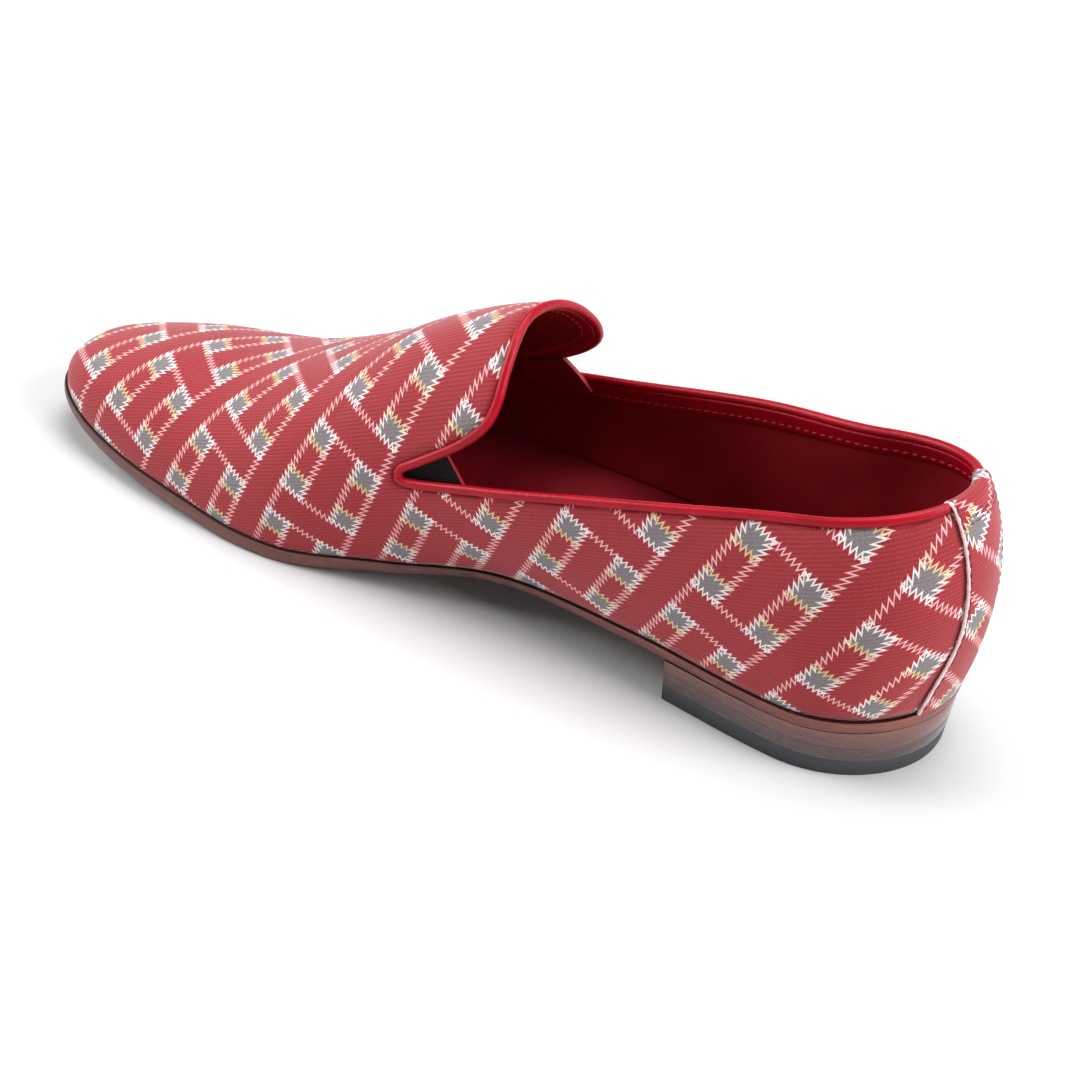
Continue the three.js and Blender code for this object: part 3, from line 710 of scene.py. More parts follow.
# shades of the burnished leather from low to high
soleShades = [
    # the dark stop at 0.6, about the height of the waist, is partly the edge's own darker tone and partly
    # painted shade of the waist edge lying in shadow
    (0.0, rgb(134, 76, 63)), (0.3, rgb(124, 66, 54)), (0.6, rgb(94, 45, 38)), (0.8, rgb(128, 67, 56)),
    (1.0, rgb(178, 100, 82)),
]
heelShades = [
    (0.0, rgb(56, 52, 56)), (0.3, rgb(84, 56, 56)), (0.65, rgb(118, 65, 59)), (1.0, rgb(150, 82, 71)),
]
finishes = {
    "cloth": clothFinish(),
    "binding": leatherFinish("binding_red_leather", rgb(178, 4, 32), rgb(118, 0, 16),
                             grain=1100, rough=0.36, strength=0.35, shine=0.24),
    "lining": leatherFinish("lining_red_leather", rgb(158, 26, 38), rgb(122, 14, 26),
                            grain=800, rough=0.5, strength=0.22),
    "sock": leatherFinish("sock_red_leather", rgb(122, 12, 26), rgb(88, 6, 16),
                          grain=700, rough=0.48, strength=0.25),
    "rawEdge": leatherFinish("binding_raw_edge", rgb(206, 104, 108), rgb(170, 66, 74),
                             grain=900, rough=0.6, strength=0.3),
    "soleEdge": burnishedFinish("sole_edge_leather", soleShades, low=0.0, high=0.021, coat=0.3),
    "heelStack": burnishedFinish("heel_stack_leather", heelShades, low=0.004, high=0.017, coat=1.0),
    "rubber": rubberFinish(),
    "gore": goreFinish(),
    "whiteEdge": threadFinish("raw_edge_white", rgb(255, 244, 242), rgb(228, 168, 170)),
    "darkThread": threadFinish("dark_thread", rgb(78, 22, 32), rgb(44, 12, 20)),
    "redThread": threadFinish("red_thread", rgb(196, 30, 50), rgb(150, 14, 32)),
}
print("finishes ready:", len(finishes))


def settle(piece, slot, *nodes):
    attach(piece, "root")
    if nodes:
        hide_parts(*nodes)
    return piece


# upper: cloth outside, leather inside, one hollow skin
# creases: where they lie on the flat cloth (along, across), how long and wide, turn, depth
upperSet = {
    "columns": 210, "rises": 58, "flatColumns": 120, "flatRises": 36,
    "cutBack": 2.75, "tuck": 0.9, "tuckRun": 1.7, "tuckPower": 1.5,
    "creaseFrom": 2, "creaseFull": 8, "bank": 0.55, "bankNarrow": 1.4,
    "creases": [
        {"along": -62, "across": 30, "long": 34, "wide": 5.0, "turn": 62, "deep": 0.35},
        {"along": -50, "across": 40, "long": 30, "wide": 5.0, "turn": 66, "deep": 0.28},
        {"along": -62, "across": -30, "long": 34, "wide": 5.0, "turn": -62, "deep": 0.35},
        {"along": -104, "across": 58, "long": 22, "wide": 5.0, "turn": 35, "deep": 0.3},
        {"along": -104, "across": -58, "long": 22, "wide": 5.0, "turn": -35, "deep": 0.3},
        {"along": -205, "across": 86, "long": 40, "wide": 9.0, "turn": 8, "deep": 0.35},
        {"along": -205, "across": -86, "long": 40, "wide": 9.0, "turn": -8, "deep": 0.35},
    ],
}
# how the repeat lies on the flat cloth: along per 100 mm and across per 50 mm, from a point on the ridge
lay = {
    "root": 0.72, "toward": 0.97,
    "along": {"start": 14.69, "run": 8.87, "ease": 0.735, "bow": 0.39, "bowRun": 0.19, "easeMore": 0.056},
    "across": {"start": -4.93, "run": 3.81, "fan": 0.80, "fanMore": 0.11, "edge": 0.16, "drift": -0.69},
}


# joins corners that share a number, drops faces that vanish and counts the used corners afresh
def joinCorners(faces, number):
    rings = []
    corners = []
    for face in faces:
        ring = [int(number[k]) for k in face]
        keep = [n for n in range(len(ring)) if ring[n] != ring[n - 1]]
        if len(keep) > 2:
            rings.append([ring[n] for n in keep])
            corners.append([face[n] for n in keep])
    used = sorted({k for ring in rings for k in ring})
    order = {k: n for n, k in enumerate(used)}
    return [[order[k] for k in ring] for ring in rings], corners, used, order


# the cloth laid flat by unwrapping the outside of the upper with its back seam open
def flatCloth():
    columns = upperSet["flatColumns"]
    places, faces, depth, wide = trimmedGrid(columns, upperSet["flatRises"], upperSet["cutBack"])
    number = np.arange(len(places))
    half = np.arange(wide // 2)
    number[columns * wide + wide - 1 - half] = columns * wide + half
    rings, corners, used, order = joinCorners(faces, number)
    points = lastPoint(*places.T)[used]
    mesh = bpy.data.meshes.new("flat_cloth")
    mesh.from_pydata(points.tolist(), [], rings)
    mesh.uv_layers.new(name="flat")
    helper = bpy.data.objects.new("flat_cloth", mesh)
    bpy.context.scene.collection.objects.link(helper)
    for other in bpy.context.selected_objects:
        other.select_set(False)
    helper.select_set(True)
    bpy.context.view_layer.objects.active = helper
    bpy.ops.object.mode_set(mode="EDIT")
    bpy.ops.mesh.select_all(action="SELECT")
    bpy.ops.uv.unwrap(method="ANGLE_BASED")
    bpy.ops.object.mode_set(mode="OBJECT")
    uv = np.zeros(len(mesh.loops) * 2, np.float32)
    mesh.uv_layers["flat"].data.foreach_get("uv", uv)
    corner = np.zeros(len(mesh.loops), np.int32)
    mesh.loops.foreach_get("vertex_index", corner)
    flat = np.zeros((len(used), 2))
    flat[corner] = uv.reshape(-1, 2)
    edges = np.array([e.vertices[:] for e in mesh.edges])
    solid = np.linalg.norm(points[edges[:, 0]] - points[edges[:, 1]], axis=1)
    drawn = np.linalg.norm(flat[edges[:, 0]] - flat[edges[:, 1]], axis=1)
    flat *= (solid * drawn).sum() / (drawn * drawn).sum()
    bpy.data.objects.remove(helper)
    bpy.data.meshes.remove(mesh)
    grid = np.full(((columns + 1) * wide, 2), np.nan)
    for k in range(len(grid)):
        if int(number[k]) in order:
            grid[k] = flat[order[int(number[k])]]
    grid = grid.reshape(columns + 1, wide, 2)
    middle = (wide - 1) // 2
    rootColumn = int(columns * lay["root"])
    root = grid[rootColumn, middle].copy()
    axis = unit(grid[int(columns * lay["toward"]), middle] - root)
    across = np.array([-axis[1], axis[0]])
    if (grid[rootColumn, middle // 2] - root) @ across < 0:
        across = -across
    return np.stack([(grid - root) @ axis, (grid - root) @ across], -1)


# reads the flat cloth at any place; near the cut it carries on from the nearest whole cells
def readFlat(grid, places):
    columns = grid.shape[0] - 1
    wide = grid.shape[1]
    within = np.zeros(grid.shape[:2], bool)
    within[2:-2, 2:-2] = True
    for _ in range(6):
        for di, dj in ((0, 1), (0, -1), (1, 0), (-1, 0)):
            near = np.roll(grid, (di, dj), (0, 1))
            further = np.roll(grid, (2 * di, 2 * dj), (0, 1))
            guess = 2 * near - further
            fill = np.isnan(grid[..., 0]) & ~np.isnan(guess[..., 0]) & within
            grid[fill] = guess[fill]
    at = places[:, 0] * columns
    up = places[:, 1] / 2 * (wide - 1)
    i = np.clip(at.astype(int), 0, columns - 1)
    j = np.clip(up.astype(int), 0, wide - 2)
    s = (at - i)[:, None]
    t = (up - j)[:, None]
    near = (1 - s) * ((1 - t) * grid[i, j] + t * grid[i, j + 1])
    return near + s * ((1 - t) * grid[i + 1, j] + t * grid[i + 1, j + 1])


# places on the flat cloth as steps of the repeat, in blocks of two
def repeatOf(flat):
    x = flat[:, 0] / 100
    q = flat[:, 1] / 50
    g = lay["along"]
    along = g["start"] + g["run"] * x + g["ease"] * x**2 + g["bow"] * q**2
    along = along + g["bowRun"] * x * q**2 + g["easeMore"] * x**3
    h = lay["across"]
    spread = h["run"] + h["fan"] * x + h["fanMore"] * x**2 + h["edge"] * q**2
    across = h["start"] + h["drift"] * x + q * spread
    return np.stack([((along + across) / 2 - 0.5) / 2, ((across - along) / 2 - 0.5) / 2], -1)


# each crease is a trough with a low bank on either side
def creaseDepth(flat):
    found = np.zeros(len(flat))
    for c in upperSet["creases"]:
        turn = math.radians(c["turn"])
        x = flat[:, 0] - c["along"]
        y = flat[:, 1] - c["across"]
        along = x * math.cos(turn) + y * math.sin(turn)
        over = y * math.cos(turn) - x * math.sin(turn)
        reach = np.exp(-(along / c["long"] * 2) ** 2)
        trough = np.exp(-(over / c["wide"]) ** 2)
        banks = np.exp(-((np.abs(over) - c["wide"]) / c["wide"] * upperSet["bankNarrow"]) ** 2)
        found += c["deep"] * reach * (upperSet["bank"] * banks - trough)
    return found


def makeUpper():
    columns = upperSet["columns"]
    places, faces, depth, wide = trimmedGrid(columns, upperSet["rises"], upperSet["cutBack"])
    flat = np.nan_to_num(readFlat(flatCloth(), places))
    repeat = repeatOf(flat)
    tuck = upperSet["tuck"] * (1 - smoothStep(0, upperSet["tuckRun"], depth)) ** upperSet["tuckPower"]
    crease = creaseDepth(flat) * smoothStep(upperSet["creaseFrom"], upperSet["creaseFull"], depth)
    points = lastPoint(*places.T)
    out = outwardAt(*places.T)
    outside = points + out * (crease - tuck)[:, None]
    inside = points + out * (crease - last["wall"])[:, None]
    number = np.arange(len(places))  # both ends of the grid close on themselves
    half = np.arange(wide // 2)
    for row in (0, columns):
        number[row * wide + wide - 1 - half] = row * wide + half
        number[row * wide + wide // 2] = row * wide + wide // 2 - 1
    rings, corners, used, order = joinCorners(faces, number)
    count = len(used)
    sides = {}
    allFaces = list(rings)
    uv = [repeat[k] for corner in corners for k in corner]
    kind = [0] * len(rings)
    for ring, corner in zip(rings, corners):
        for n in range(len(ring)):
            sides[(ring[n - 1], ring[n])] = (corner[n - 1], corner[n])
        allFaces.append([count + k for k in reversed(ring)])
        uv.extend(repeat[k] for k in reversed(corner))
        kind.append(1)
    for (a, b), (ka, kb) in sides.items():
        if (b, a) not in sides:
            allFaces.append([b, a, count + a, count + b])
            uv.extend([repeat[kb], repeat[ka], repeat[ka], repeat[kb]])
            kind.append(0)
    whole = np.concatenate([outside[used], inside[used]])
    upper = makeMesh("upper_cloth", whole, allFaces, [finishes["cloth"], finishes["lining"]], kind, uv)
    print("upper:", len(allFaces), "faces")
    return settle(upper, "upper_fabric", "upper")


makeUpper()


# faces between closed rings of equal count
def ringFaces(rings, wide):
    faces = []
    for start in range(0, (rings - 1) * wide, wide):
        for s in range(wide):
            a = start + s
            b = start + (s + 1) % wide
            faces.append([a, b, b + wide, a + wide])
    return faces


# a tube through points with given frames; ends closed
def sweep(points, across, up, radius, sides, stretch=1.0):
    angle = np.arange(sides) / sides * 2 * math.pi
    radius = np.broadcast_to(np.asarray(radius, float), (len(points),))
    spoke = across[:, None] * np.cos(angle)[:, None] + up[:, None] * (np.sin(angle) * stretch)[:, None]
    ring = points[:, None] + spoke * radius[:, None, None]
    faces = ringFaces(len(points), sides)
    end = (len(points) - 1) * sides
    faces.append(list(range(sides))[::-1])
    faces.append([end + s for s in range(sides)])
    forward = (np.cross(across, up) * np.gradient(points, axis=0)).sum()
    if forward < 0:
        faces = [face[::-1] for face in faces]
    return ring.reshape(-1, 3), faces


# joins several (points, faces) into one mesh
def gather(parts):
    points = []
    faces = []
    base = 0
    for p, f in parts:
        points.append(p)
        faces.extend([[k + base for k in ring] for ring in f])
        base += len(p)
    return np.concatenate(points), faces


# walks over the last from places in a starting direction, returning the places after each step
def walk(places, direction, distance, steps):
    at = places.copy()
    heading = direction.copy()
    near = 1e-3
    found = []
    for _ in range(steps):
        u, v = at.T
        alongU = (lastPoint(u + near, v) - lastPoint(u - near, v)) / (2 * near)
        alongV = (lastPoint(u, v + near) - lastPoint(u, v - near)) / (2 * near)
        out = unit(np.cross(alongV, alongU))
        heading = unit(heading - out * (heading * out).sum(-1, keepdims=True))
        uu = (alongU * alongU).sum(-1)
        vv = (alongV * alongV).sum(-1)
        uv = (alongU * alongV).sum(-1)
        hu = (heading * alongU).sum(-1) * distance / steps
        hv = (heading * alongV).sum(-1) * distance / steps
        free = uu * vv - uv * uv
        at = at + np.stack([(hu * vv - hv * uv) / free, (hv * uu - hu * uv) / free], -1)
        found.append(at.copy())
    return found


# every stitch: how far it sinks in and how thin its ends are, as shares of its radius
stitchSet = {"steps": 5, "sides": 6, "sunk": 0.5, "thinEnd": 0.55}


# a row of short stitches along a line of points on a surface
def stitchRow(points, out, stitch):
    run = runAlong(points)
    t = np.linspace(0, 1, stitchSet["steps"])
    bulge = np.sin(t * math.pi)
    radius = stitch["radius"]
    parts = []
    for start in np.arange(0.5 * stitch["step"], run[-1] - stitch["long"], stitch["step"]):
        at = start + t * stitch["long"]
        normal = unit(readBetween(out, run, at))
        path = readBetween(points, run, at) + normal * (radius * (bulge - stitchSet["sunk"]))[:, None]
        tangent = unit(np.gradient(path, axis=0))
        across = unit(np.cross(tangent, normal))
        up = np.cross(across, tangent)
        thickness = radius * (stitchSet["thinEnd"] + (1 - stitchSet["thinEnd"]) * bulge)
        parts.append(sweep(path, up, across, thickness, stitchSet["sides"]))
    return parts


def makeThreads(name, parts, finish, slot):
    points, faces = gather(parts)
    return settle(makeMesh(name, points, faces, [finishes[finish]]), slot)


# back strip: half its width by height, the part turned in at the top, raw edges, stitches, pattern
stripSet = {
    "z": [15, 30, 45, 60, 95], "half": [14.9, 14.2, 11.1, 10.1, 9.6], "centre": 1.5,
    "thick": 1.1, "turnIn": 9.0, "turnGap": 0.6,
    "columns": 28, "rises": 60, "turnSteps": 8, "foldSteps": 12,
    "edgeRadius": 0.48, "edgeLevel": 0.55, "edgeStretch": 1.1, "edgeSides": 8,
    "patternTurn": 45, "patternAt": (7.0, 85.0), "patternStart": 0.25,
    "seamStitch": {"long": 2.2, "step": 2.7, "radius": 0.13}, "seamShare": 0.65,
    "rowStitch": {"long": 2.3, "step": 2.5, "radius": 0.13}, "rowsBelowTop": (3, 5),
}


def stripHalf(z):
    return readTable(stripSet, "half", z, "z")


# binding: a round leather bead on the edge, its tail turned in and stitched to the lining
bindingSet = {
    "radius": 1.4, "sides": 20, "pucker": 0.012, "wrinkle": 0.01, "underStrip": 0.2,
    "band": 6.5, "bandThick": 0.5, "bandGap": 0.05, "bandSteps": 8,
    "stitchFrom": 6.2, "stitch": {"long": 2.1, "step": 3.0, "radius": 0.28},
}


# the collar without the part that the back strip covers
def collarRun():
    sideways = np.abs(collarEdge[:, 1] - stripSet["centre"])
    beside = sideways > stripHalf(collarEdge[:, 2]) - bindingSet["underStrip"]
    return np.flatnonzero(beside | (collarEdge[:, 0] > last["heelRound"]))


def makeBinding():
    run = collarRun()
    bead = bindingSet["radius"]
    centre = collarEdge[run] - collarIn[run] * bead - collarOut[run] * last["wall"] / 2
    length = runAlong(centre)
    pucker = 1 + bindingSet["pucker"] * np.sin(length * 1.9) * np.sin(length * 0.37 + 1)
    pucker = pucker + bindingSet["wrinkle"] * np.sin(length * 4.3 + 2)
    beadPart = sweep(centre, collarIn[run], collarOut[run], bead * pucker, bindingSet["sides"])
    reach = bead * 1.2 + bindingSet["band"]
    walked = walk(collarPlaces[run], -collarIn[run], reach, bindingSet["bandSteps"])[1:]
    depth = last["wall"] + bindingSet["bandGap"]
    outer = [offsetPoint(*w.T, -depth) for w in walked]
    inner = [offsetPoint(*w.T, -depth - bindingSet["bandThick"]) for w in walked]
    rows = np.stack(outer + inner[::-1], 1)
    many, wide = rows.shape[:2]
    faces = [[a, d, c, b] for a, b, c, d in ringFaces(many, wide)]
    faces.append(list(range(wide)))
    faces.append([(many - 1) * wide + s for s in range(wide)][::-1])
    rim = np.arange(len(faces)) % wide == len(outer) - 1  # the raw edge shows paler
    points, faces = gather([beadPart, (rows.reshape(-1, 3), faces)])
    paler = np.concatenate([np.zeros(len(faces) - len(rim), int), rim.astype(int)])
    leathers = [finishes["binding"], finishes["rawEdge"]]
    binding = makeMesh("topline_binding_leather", points, faces, leathers, paler)
    print("binding:", len(faces), "faces")
    return settle(binding, "binding_leather", "topline_binding")


def makeBindingStitches():
    run = collarRun()
    walked = walk(collarPlaces[run], -collarIn[run], bindingSet["stitchFrom"], 6)[-1]
    line = offsetPoint(*walked.T, -last["wall"] - bindingSet["bandGap"] - bindingSet["bandThick"])
    parts = stitchRow(line, -outwardAt(*walked.T), bindingSet["stitch"])
    return makeThreads("binding_stitches", parts, "redThread", "binding_leather")


makeBinding()
makeBindingStitches()

crispAngle = math.radians(50)


# a sheet with thickness from an outer and an inner grid; a second material lines the inside and the edges
def makeSheet(name, outside, inside, repeat, materials, flip=False):
    tall, wide = outside.shape[:2]
    count = tall * wide
    faces = []
    for i in range(tall - 1):
        for j in range(wide - 1):
            a = i * wide + j
            b = a + wide
            faces.append([a, b, b + 1, a + 1])
            faces.append([count + a, count + a + 1, count + b + 1, count + b])
        a = i * wide
        faces.append([a, count + a, count + a + wide, a + wide])
        a += wide - 1
        faces.append([a, a + wide, count + a + wide, count + a])
    for j in range(wide - 1):
        faces.append([j, j + 1, count + j + 1, count + j])
        a = (tall - 1) * wide + j
        faces.append([a, count + a, count + a + 1, a + 1])
    if flip:
        faces = [ring[::-1] for ring in faces]
    repeat = repeat.reshape(-1, 2)
    uv = [repeat[k % count] for ring in faces for k in ring]
    kind = [0 if max(ring) < count else len(materials) - 1 for ring in faces]
    points = np.concatenate([outside.reshape(-1, 3), inside.reshape(-1, 3)])
    made = makeMesh(name, points, faces, materials, kind, uv)
    made.data.set_sharp_from_angle(angle=crispAngle)
    return made


# back strip: covers the back seam, folds over the top edge and turns in
def stripPlaces():
    w = np.linspace(-1, 1, stripSet["columns"] + 1)
    rises = np.linspace(0, 1, 90)

    # how far each edge of the strip lies from the seam at each rise of the last
    def edgeOf(v):
        def past(u):
            p = lastPoint(u, v)
            return np.abs(p[..., 1] - stripSet["centre"]) - stripHalf(p[..., 2])
        return findZero(0, heelShare, past)

    innerEdge = edgeOf(rises)
    outerEdge = edgeOf(2 - rises)
    cutBack = 2 * bindingSet["radius"] + last["gap"]

    def across(t):
        return np.where(w > 0, w * np.interp(t, rises, innerEdge), w * np.interp(t, rises, outerEdge))

    def above(t):
        p = lastPoint(across(t), t)
        return p[..., 2] - toplineZ(p[..., 0]) + cutBack

    def placesAt(t):
        return np.stack([across(t), t], -1)

    def short(t):
        return stripSet["turnIn"] - np.linalg.norm(lastPoint(across(t), t) - crest, axis=-1)

    top = findZero(0, 1, above)
    crest = lastPoint(across(top), top)
    low = findZero(0, top, short)
    outside = [placesAt(top * k) for k in np.linspace(0, 1, stripSet["rises"] + 1)]
    inside = [placesAt(top + (low - top) * k) for k in np.linspace(0, 1, stripSet["turnSteps"] + 1)]
    up = unit(crest - lastPoint(across(top - probe["v"]), top - probe["v"]))
    return outside, inside, up


stripLay = stripPlaces()


# the strip's surface at a distance out from its underside
def stripGrid(distanceOut):
    outside, inside, up = stripLay
    rows = [offsetPoint(*p.T, last["gap"] + distanceOut) for p in outside]
    top = outside[-1]
    normal = outwardAt(*top.T)
    middle = offsetPoint(*top.T, -last["wall"] / 2) + up
    reach = last["wall"] / 2 + last["gap"] + distanceOut
    for k in range(1, stripSet["foldSteps"]):
        angle = math.pi * k / stripSet["foldSteps"]
        rows.append(middle + (normal * math.cos(angle) + up * math.sin(angle)) * reach)
    depth = last["wall"] + stripSet["turnGap"] + distanceOut
    rows += [offsetPoint(*p.T, -depth) for p in inside]
    return np.stack(rows)


def makeStrip():
    outside = stripGrid(stripSet["thick"])
    inside = stripGrid(0.0)
    wide = outside.shape[1]
    side = runAlong(outside, 1)
    side -= side[:, wide // 2][:, None]
    turn = math.radians(stripSet["patternTurn"])
    x = (side - stripSet["patternAt"][0]) / cloth["step"] / 2
    y = (runAlong(outside) - stripSet["patternAt"][1]) / cloth["step"] / 2
    along = x * math.cos(turn) + y * math.sin(turn)
    over = y * math.cos(turn) - x * math.sin(turn)
    repeat = np.stack([along, over], -1) + stripSet["patternStart"]
    strip = makeSheet("back_strip_cloth", outside, inside, repeat, [finishes["cloth"]])
    settle(strip, "upper_fabric", "back_strip")

    # raw white edges down both sides, then the dark rows of stitches
    middle = stripGrid(stripSet["thick"] * stripSet["edgeLevel"])
    out = unit(outside - inside)
    share = stripSet["seamShare"]
    edges = []
    seams = []
    for column, beside in ((0, 1), (wide - 1, wide - 2)):
        path = middle[:, column]
        tangent = unit(np.gradient(path, axis=0))
        across = unit(path - middle[:, beside])
        across = unit(across - tangent * (across * tangent).sum(-1, keepdims=True))
        up = np.cross(across, tangent)
        row = np.arange(len(path))
        frayed = stripSet["edgeRadius"] * (1 + 0.12 * np.sin(row * 2.3) + 0.1 * np.sin(row * 5.1 + 1))
        edges.append(sweep(path, across, up, frayed, stripSet["edgeSides"], stripSet["edgeStretch"]))
        seam = outside[:, column] * (1 - share) + outside[:, beside] * share
        seams += stitchRow(seam, out[:, beside], stripSet["seamStitch"])
    for below in stripSet["rowsBelowTop"]:
        row = stripSet["rises"] - below
        seams += stitchRow(outside[row, 1:-1], out[row, 1:-1], stripSet["rowStitch"])
    makeThreads("back_strip_edges", edges, "whiteEdge", "upper_fabric")
    makeThreads("back_strip_stitches", seams, "darkThread", "upper_fabric")
    print("back strip:", len(strip.data.polygons), "faces")


makeStrip()

# elastic gore behind each side notch
goreSet = {"thick": 1.2, "reach": 21, "margin": 4, "rise": 5, "slant": 10, "steps": 30, "rib": 0.9}


def makeGore(side, name, node):
    depth = last["wall"] / 2 + bindingSet["radius"] + last["gap"]
    rear = notch["x"] - goreSet["reach"]
    u = np.linspace(stationOf(notch["x"] + goreSet["margin"]), stationOf(rear), goreSet["steps"])
    k = np.linspace(0, 1, goreSet["steps"])
    low = quarterPlaces(u, 1, goreSet["margin"])[:, 1]
    high = quarterPlaces(u, 1, -goreSet["margin"] - goreSet["rise"] * k)[:, 1]
    v = sideV(low[:, None] + (high - low)[:, None] * k[None, :], side)
    grid = u[:, None] + (stationOf(rear + goreSet["slant"]) - stationOf(rear)) * k[:, None] * k[None, :]
    outside = offsetPoint(grid, v, -depth)
    inside = offsetPoint(grid, v, -depth - goreSet["thick"])
    repeat = np.stack([runAlong(outside), runAlong(outside, 1)], -1) / goreSet["rib"]
    lined = [finishes["gore"], finishes["lining"]]  # black outside, lined inside
    return settle(makeSheet(name, outside, inside, repeat, lined, side < 0), "gore_elastic", node)


makeGore(1, "gore_inner_elastic", "gore_inner")
makeGore(-1, "gore_outer_elastic", "gore_outer")
print("gores made")


# one value at every place
def always(value):
    return lambda x: np.full_like(np.asarray(x, float), value)


# flat-lying layer: each level gives an inset and a height, listed from the top down
def layer(levels, steps):
    u = np.linspace(0, 1, steps + 1)
    rows = []
    for side in (1, -1):
        ordered = levels[::-1] if side > 0 else levels
        for inset, height in ordered:
            x, y = outlinePoint(u, side, inset(stationX(u)))
            rows.append(np.stack([x, y, height(x)], -1))
    rows = np.stack(rows, 1)
    return rows.reshape(-1, 3), ringFaces(steps + 1, rows.shape[1])


# joins points that meet, turns the faces outward and keeps the edges crisp
def makeWelded(name, points, faces, finish):
    made = makeMesh(name, points, faces, [finishes[finish]])
    mesh = made.data
    work = bmesh.new()
    work.from_mesh(mesh)
    bmesh.ops.remove_doubles(work, verts=work.verts, dist=0.00002)
    bmesh.ops.recalc_face_normals(work, faces=work.faces)
    work.to_mesh(mesh)
    work.free()
    mesh.update()
    mesh.set_sharp_from_angle(angle=crispAngle)
    return made


outsoleSet = {"lip": 0.3, "steps": 160, "widest": 0.55, "rounds": 8, "corner": 0.015, "flatFrom": 0.5}


def makeOutsole():
    def height(share):
        return lambda x: underside(x) + share * (soleTop(x) - underside(x))

    def pared(bend, more=0.0):
        return lambda x: readTable(sole, "bevel", x) * bend**2 + more

    lip = outsoleSet["lip"]
    widest = outsoleSet["widest"]
    corner = outsoleSet["corner"]
    levels = [(always(lip + outsoleSet["flatFrom"]), height(1.0))]
    for k in range(outsoleSet["rounds"] + 1):
        share = 1 - k / outsoleSet["rounds"]
        if share > widest:
            bend = (share - widest) / (1 - widest)
            levels.append((always(lip * bend**2), height(min(share, 1 - corner))))
        else:
            bend = (share - widest) / widest
            levels.append((pared(bend), height(max(share, corner))))
    levels.append((pared(1.0, outsoleSet["flatFrom"]), height(0.0)))
    outsole = makeWelded("outsole_leather", *layer(levels, outsoleSet["steps"]), "soleEdge")
    print("outsole:", len(outsole.data.polygons), "faces")
    return settle(outsole, "sole_leather", "outsole")


makeOutsole()

insoleSet = {"thick": 2.5, "steps": 120, "edge": 0.3, "clear": 0.4, "topIn": 0.3, "swell": 0.15}


def makeInsole():
    inset = last["featherInset"] + last["wall"] + insoleSet["clear"]
    thick = insoleSet["thick"]

    def height(up):
        return lambda x: soleTop(x) + last["gap"] + up

    levels = [
        (always(inset + insoleSet["topIn"]), height(thick)),
        (always(inset - insoleSet["swell"]), height(thick - insoleSet["edge"])),
        (always(inset), height(0.0)),
    ]
    insole = makeWelded("insole_sock", *layer(levels, insoleSet["steps"]), "sock")
    print("insole:", len(insole.data.polygons), "faces")
    return settle(insole, "lining_leather", "insole")


makeInsole()

# heel: two lifts over a rubber top piece, hollowed in front
heelSet = {
    "breast": 74, "hollow": 4, "radius": 150, "inset": 0.5, "taper": 1.2, "topPiece": 5.5, "lift": 4.6,
    "layerGap": 0.03, "steps": 90, "front": 24, "ease": 0.35, "joint": 0.06, "knuckle": 0.3, "search": 8,
}


def heelLoop(inset, height):
    centreX = heelSet["breast"] + heelSet["radius"] - heelSet["hollow"]

    def breastX(y):
        return centreX - np.sqrt(heelSet["radius"] ** 2 - y**2)

    sides = []
    for side in (1, -1):
        def past(u):
            x, y = outlinePoint(u, side, inset)
            return x - breastX(y)
        reach = float(findZero(0, stationOf(heelSet["breast"] + heelSet["search"]), past))
        u = np.linspace(reach, 0, heelSet["steps"])
        sides.append(np.stack(outlinePoint(u, side, inset), -1))
    loop = np.concatenate([sides[0], sides[1][::-1][1:]])
    y = np.linspace(loop[-1, 1], loop[0, 1], heelSet["front"])[1:-1]
    loop = np.concatenate([loop, np.stack([breastX(y), y], -1)])
    return np.concatenate([loop, height(loop[:, 0])[:, None]], 1)


def heelLayer(name, bottom, top, finish, slot, node):
    seat = float(underside(last["heelRound"]))
    ease = heelSet["joint"]
    foot = heelSet["joint"] if bottom > 0 else heelSet["ease"]
    knuckle = heelSet["knuckle"]

    def insetAt(z):
        return heelSet["inset"] + heelSet["taper"] * (1 - min(z, seat) / seat)

    upper = insetAt(float(top(np.array(last["heelRound"]))))
    lower = insetAt(bottom)
    loops = []
    for inset, drop in ((ease, 0.0), (ease * knuckle, ease * knuckle), (0.0, ease)):
        loops.append(heelLoop(upper + inset, lambda x, d=drop: top(x) - d))
    for inset, lift in ((0.0, foot), (foot * knuckle, foot * knuckle), (foot, 0.0)):
        loops.append(heelLoop(lower + inset, always(bottom + lift)))
    wide = len(loops[0])
    faces = ringFaces(len(loops), wide)
    half = heelSet["steps"] - 1
    for base, turn in ((0, 1), ((len(loops) - 1) * wide, -1)):
        rim = [base + k for k in range(wide)]
        for k in range(half):
            ring = [rim[k], rim[k + 1], rim[2 * half - k - 1], rim[2 * half - k]]
            ring = [p for n, p in enumerate(ring) if p != ring[n - 1]]
            faces.append(ring[::-turn])
        faces.append(([rim[0]] + rim[2 * half:])[::turn])
    return settle(makeWelded(name, np.concatenate(loops), faces, finish), slot, node)


def underSole(x):
    return underside(x) - heelSet["layerGap"]


lowerLift = heelSet["topPiece"] + heelSet["layerGap"]
upperLift = lowerLift + heelSet["lift"] + heelSet["layerGap"]
heelLayer("top_piece_rubber", 0.0, always(heelSet["topPiece"]), "rubber", "heel_rubber", "top_piece")
heelLayer("heel_lift_lower_stack", lowerLift, always(lowerLift + heelSet["lift"]),
          "heelStack", "heel_leather", "heel_lift_lower")
heelLayer("heel_lift_upper_stack", upperLift, underSole, "heelStack", "heel_leather", "heel_lift_upper")
print("heel made")

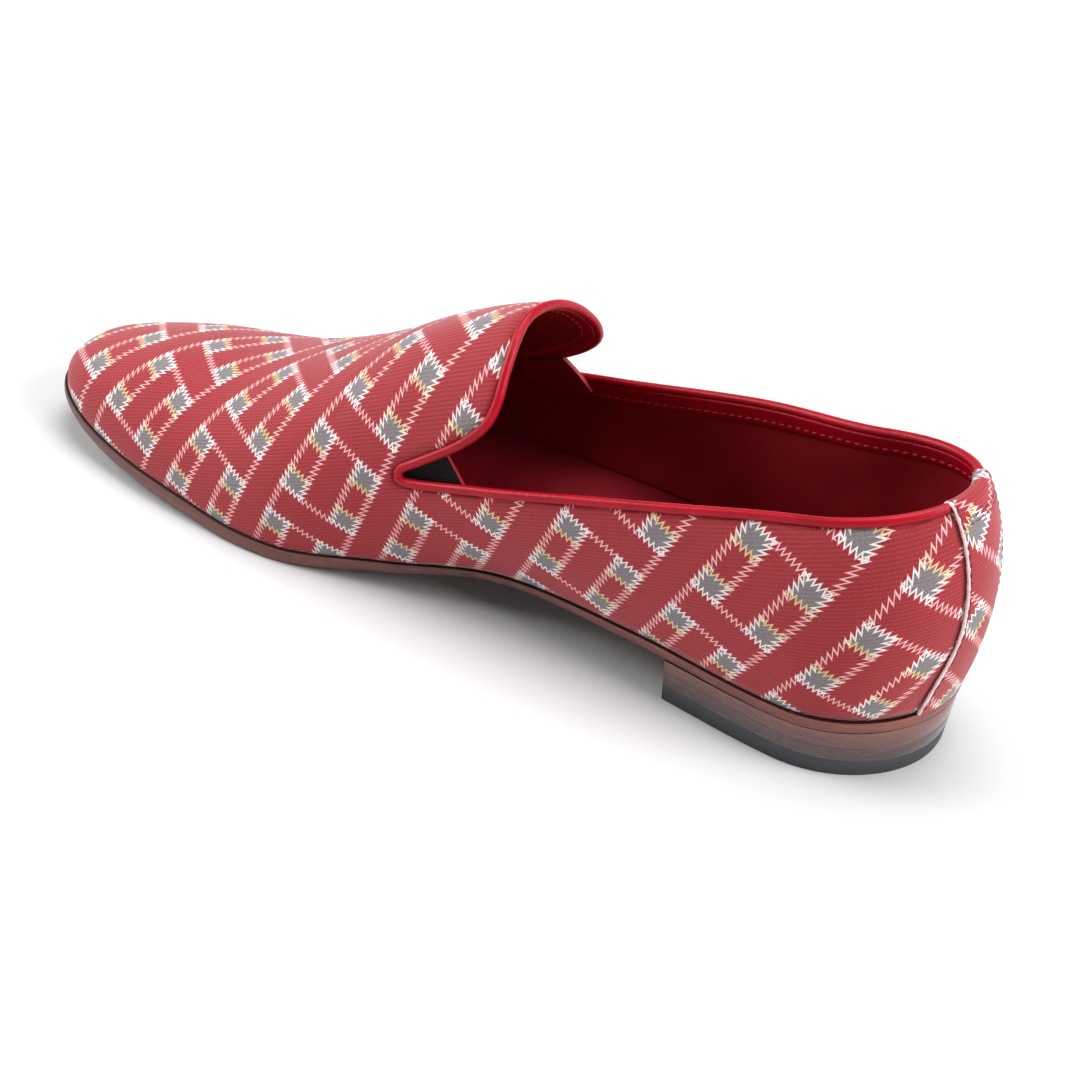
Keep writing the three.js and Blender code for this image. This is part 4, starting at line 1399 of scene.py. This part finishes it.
# stage: pale floor that glows away from the shoe, soft light, and a camera at the photograph's angle
stageSet = {
    "floor": rgb(214, 214, 215), "floorDust": rgb(208, 208, 210), "floorReach": 6.0,
    "glowFrom": 0.5, "glowRun": 1.2,
    "skyLow": 1.05, "skyHigh": 0.1, "skyStops": (0.3, 0.9),
    "cameraAt": (-0.2542, 0.4477, 0.3765), "cameraTo": (-0.0319, 0.0309, 0.035), "roll": 5.65, "lens": 70.0,
    "lightsTo": (0, 0, 0.03),
    "lights": [
        {"name": "top", "at": (0.0, -0.35, 1.5), "size": 1.2, "power": 21},
        {"name": "heelSide", "at": (-1.2, -0.1, 0.9), "size": 1.0, "power": 20},
        {"name": "toeSide", "at": (1.35, 0.38, 0.85), "size": 1.0, "power": 21.5},
    ],
}


def makeFloor():
    made, tree = newMaterial("pale_floor")
    where = bodyCoordinates(tree)
    c = sumsIn(tree)
    dust = c("MULTIPLY", noise(tree, where, 4, 2, 0.5), 0.05)
    shader = finishOff(tree, mixColour(tree, dust, stageSet["floor"], stageSet["floorDust"]), 0.7)
    away = tree.nodes.new("ShaderNodeVectorMath")
    away.operation = "LENGTH"
    tree.links.new(where, away.inputs[0])
    glow = c("SUBTRACT", away.outputs["Value"], stageSet["glowFrom"])
    shader.inputs["Emission Color"].default_value = (1, 1, 1, 1)
    tree.links.new(c("DIVIDE", glow, stageSet["glowRun"], clamp=True), shader.inputs["Emission Strength"])
    mesh = bpy.data.meshes.new("floor")
    r = stageSet["floorReach"]
    mesh.from_pydata([(-r, -r, 0), (r, -r, 0), (r, r, 0), (-r, r, 0)], [], [[0, 1, 2, 3]])
    mesh.materials.append(made)
    floor = bpy.data.objects.new("floor", mesh)
    bpy.context.scene.collection.objects.link(floor)


# white at the horizon, dim overhead
def makeSky():
    world = bpy.data.worlds.new("studio")
    world.use_nodes = True
    tree = world.node_tree
    height = splitXyz(tree, tree.nodes.new("ShaderNodeTexCoord").outputs["Generated"])[2]
    up = sumsIn(tree)("MULTIPLY", height, 3.0, clamp=True)
    stops = []
    for at, white in zip(stageSet["skyStops"], (stageSet["skyLow"], stageSet["skyHigh"])):
        stops.append((at, (white, white, white, 1)))
    tree.links.new(ramp(tree, up, stops), tree.nodes["Background"].inputs[0])
    bpy.context.scene.world = world


def aimFrom(place, target):
    return (Vector(target) - Vector(place)).to_track_quat("-Z", "Y")


def makeStage():
    scene = bpy.context.scene
    scene.view_settings.view_transform = "Standard"
    scene.view_settings.look = "None"
    makeFloor()
    makeSky()
    for spec in stageSet["lights"]:
        data = bpy.data.lights.new(spec["name"], "AREA")
        data.shape = "DISK"
        data.size = spec["size"]
        data.energy = spec["power"]
        light = bpy.data.objects.new(spec["name"], data)
        light.location = spec["at"]
        light.rotation_euler = aimFrom(spec["at"], stageSet["lightsTo"]).to_euler()
        scene.collection.objects.link(light)
    data = bpy.data.cameras.new("camera")
    data.lens = stageSet["lens"]
    data.clip_start = 0.01
    camera = bpy.data.objects.new("camera", data)
    camera.location = stageSet["cameraAt"]
    camera.rotation_mode = "QUATERNION"
    roll = Matrix.Rotation(math.radians(stageSet["roll"]), 4, "Z").to_quaternion()
    camera.rotation_quaternion = aimFrom(stageSet["cameraAt"], stageSet["cameraTo"]) @ roll
    scene.collection.objects.link(camera)
    scene.camera = camera


makeStage()
print("stage set")
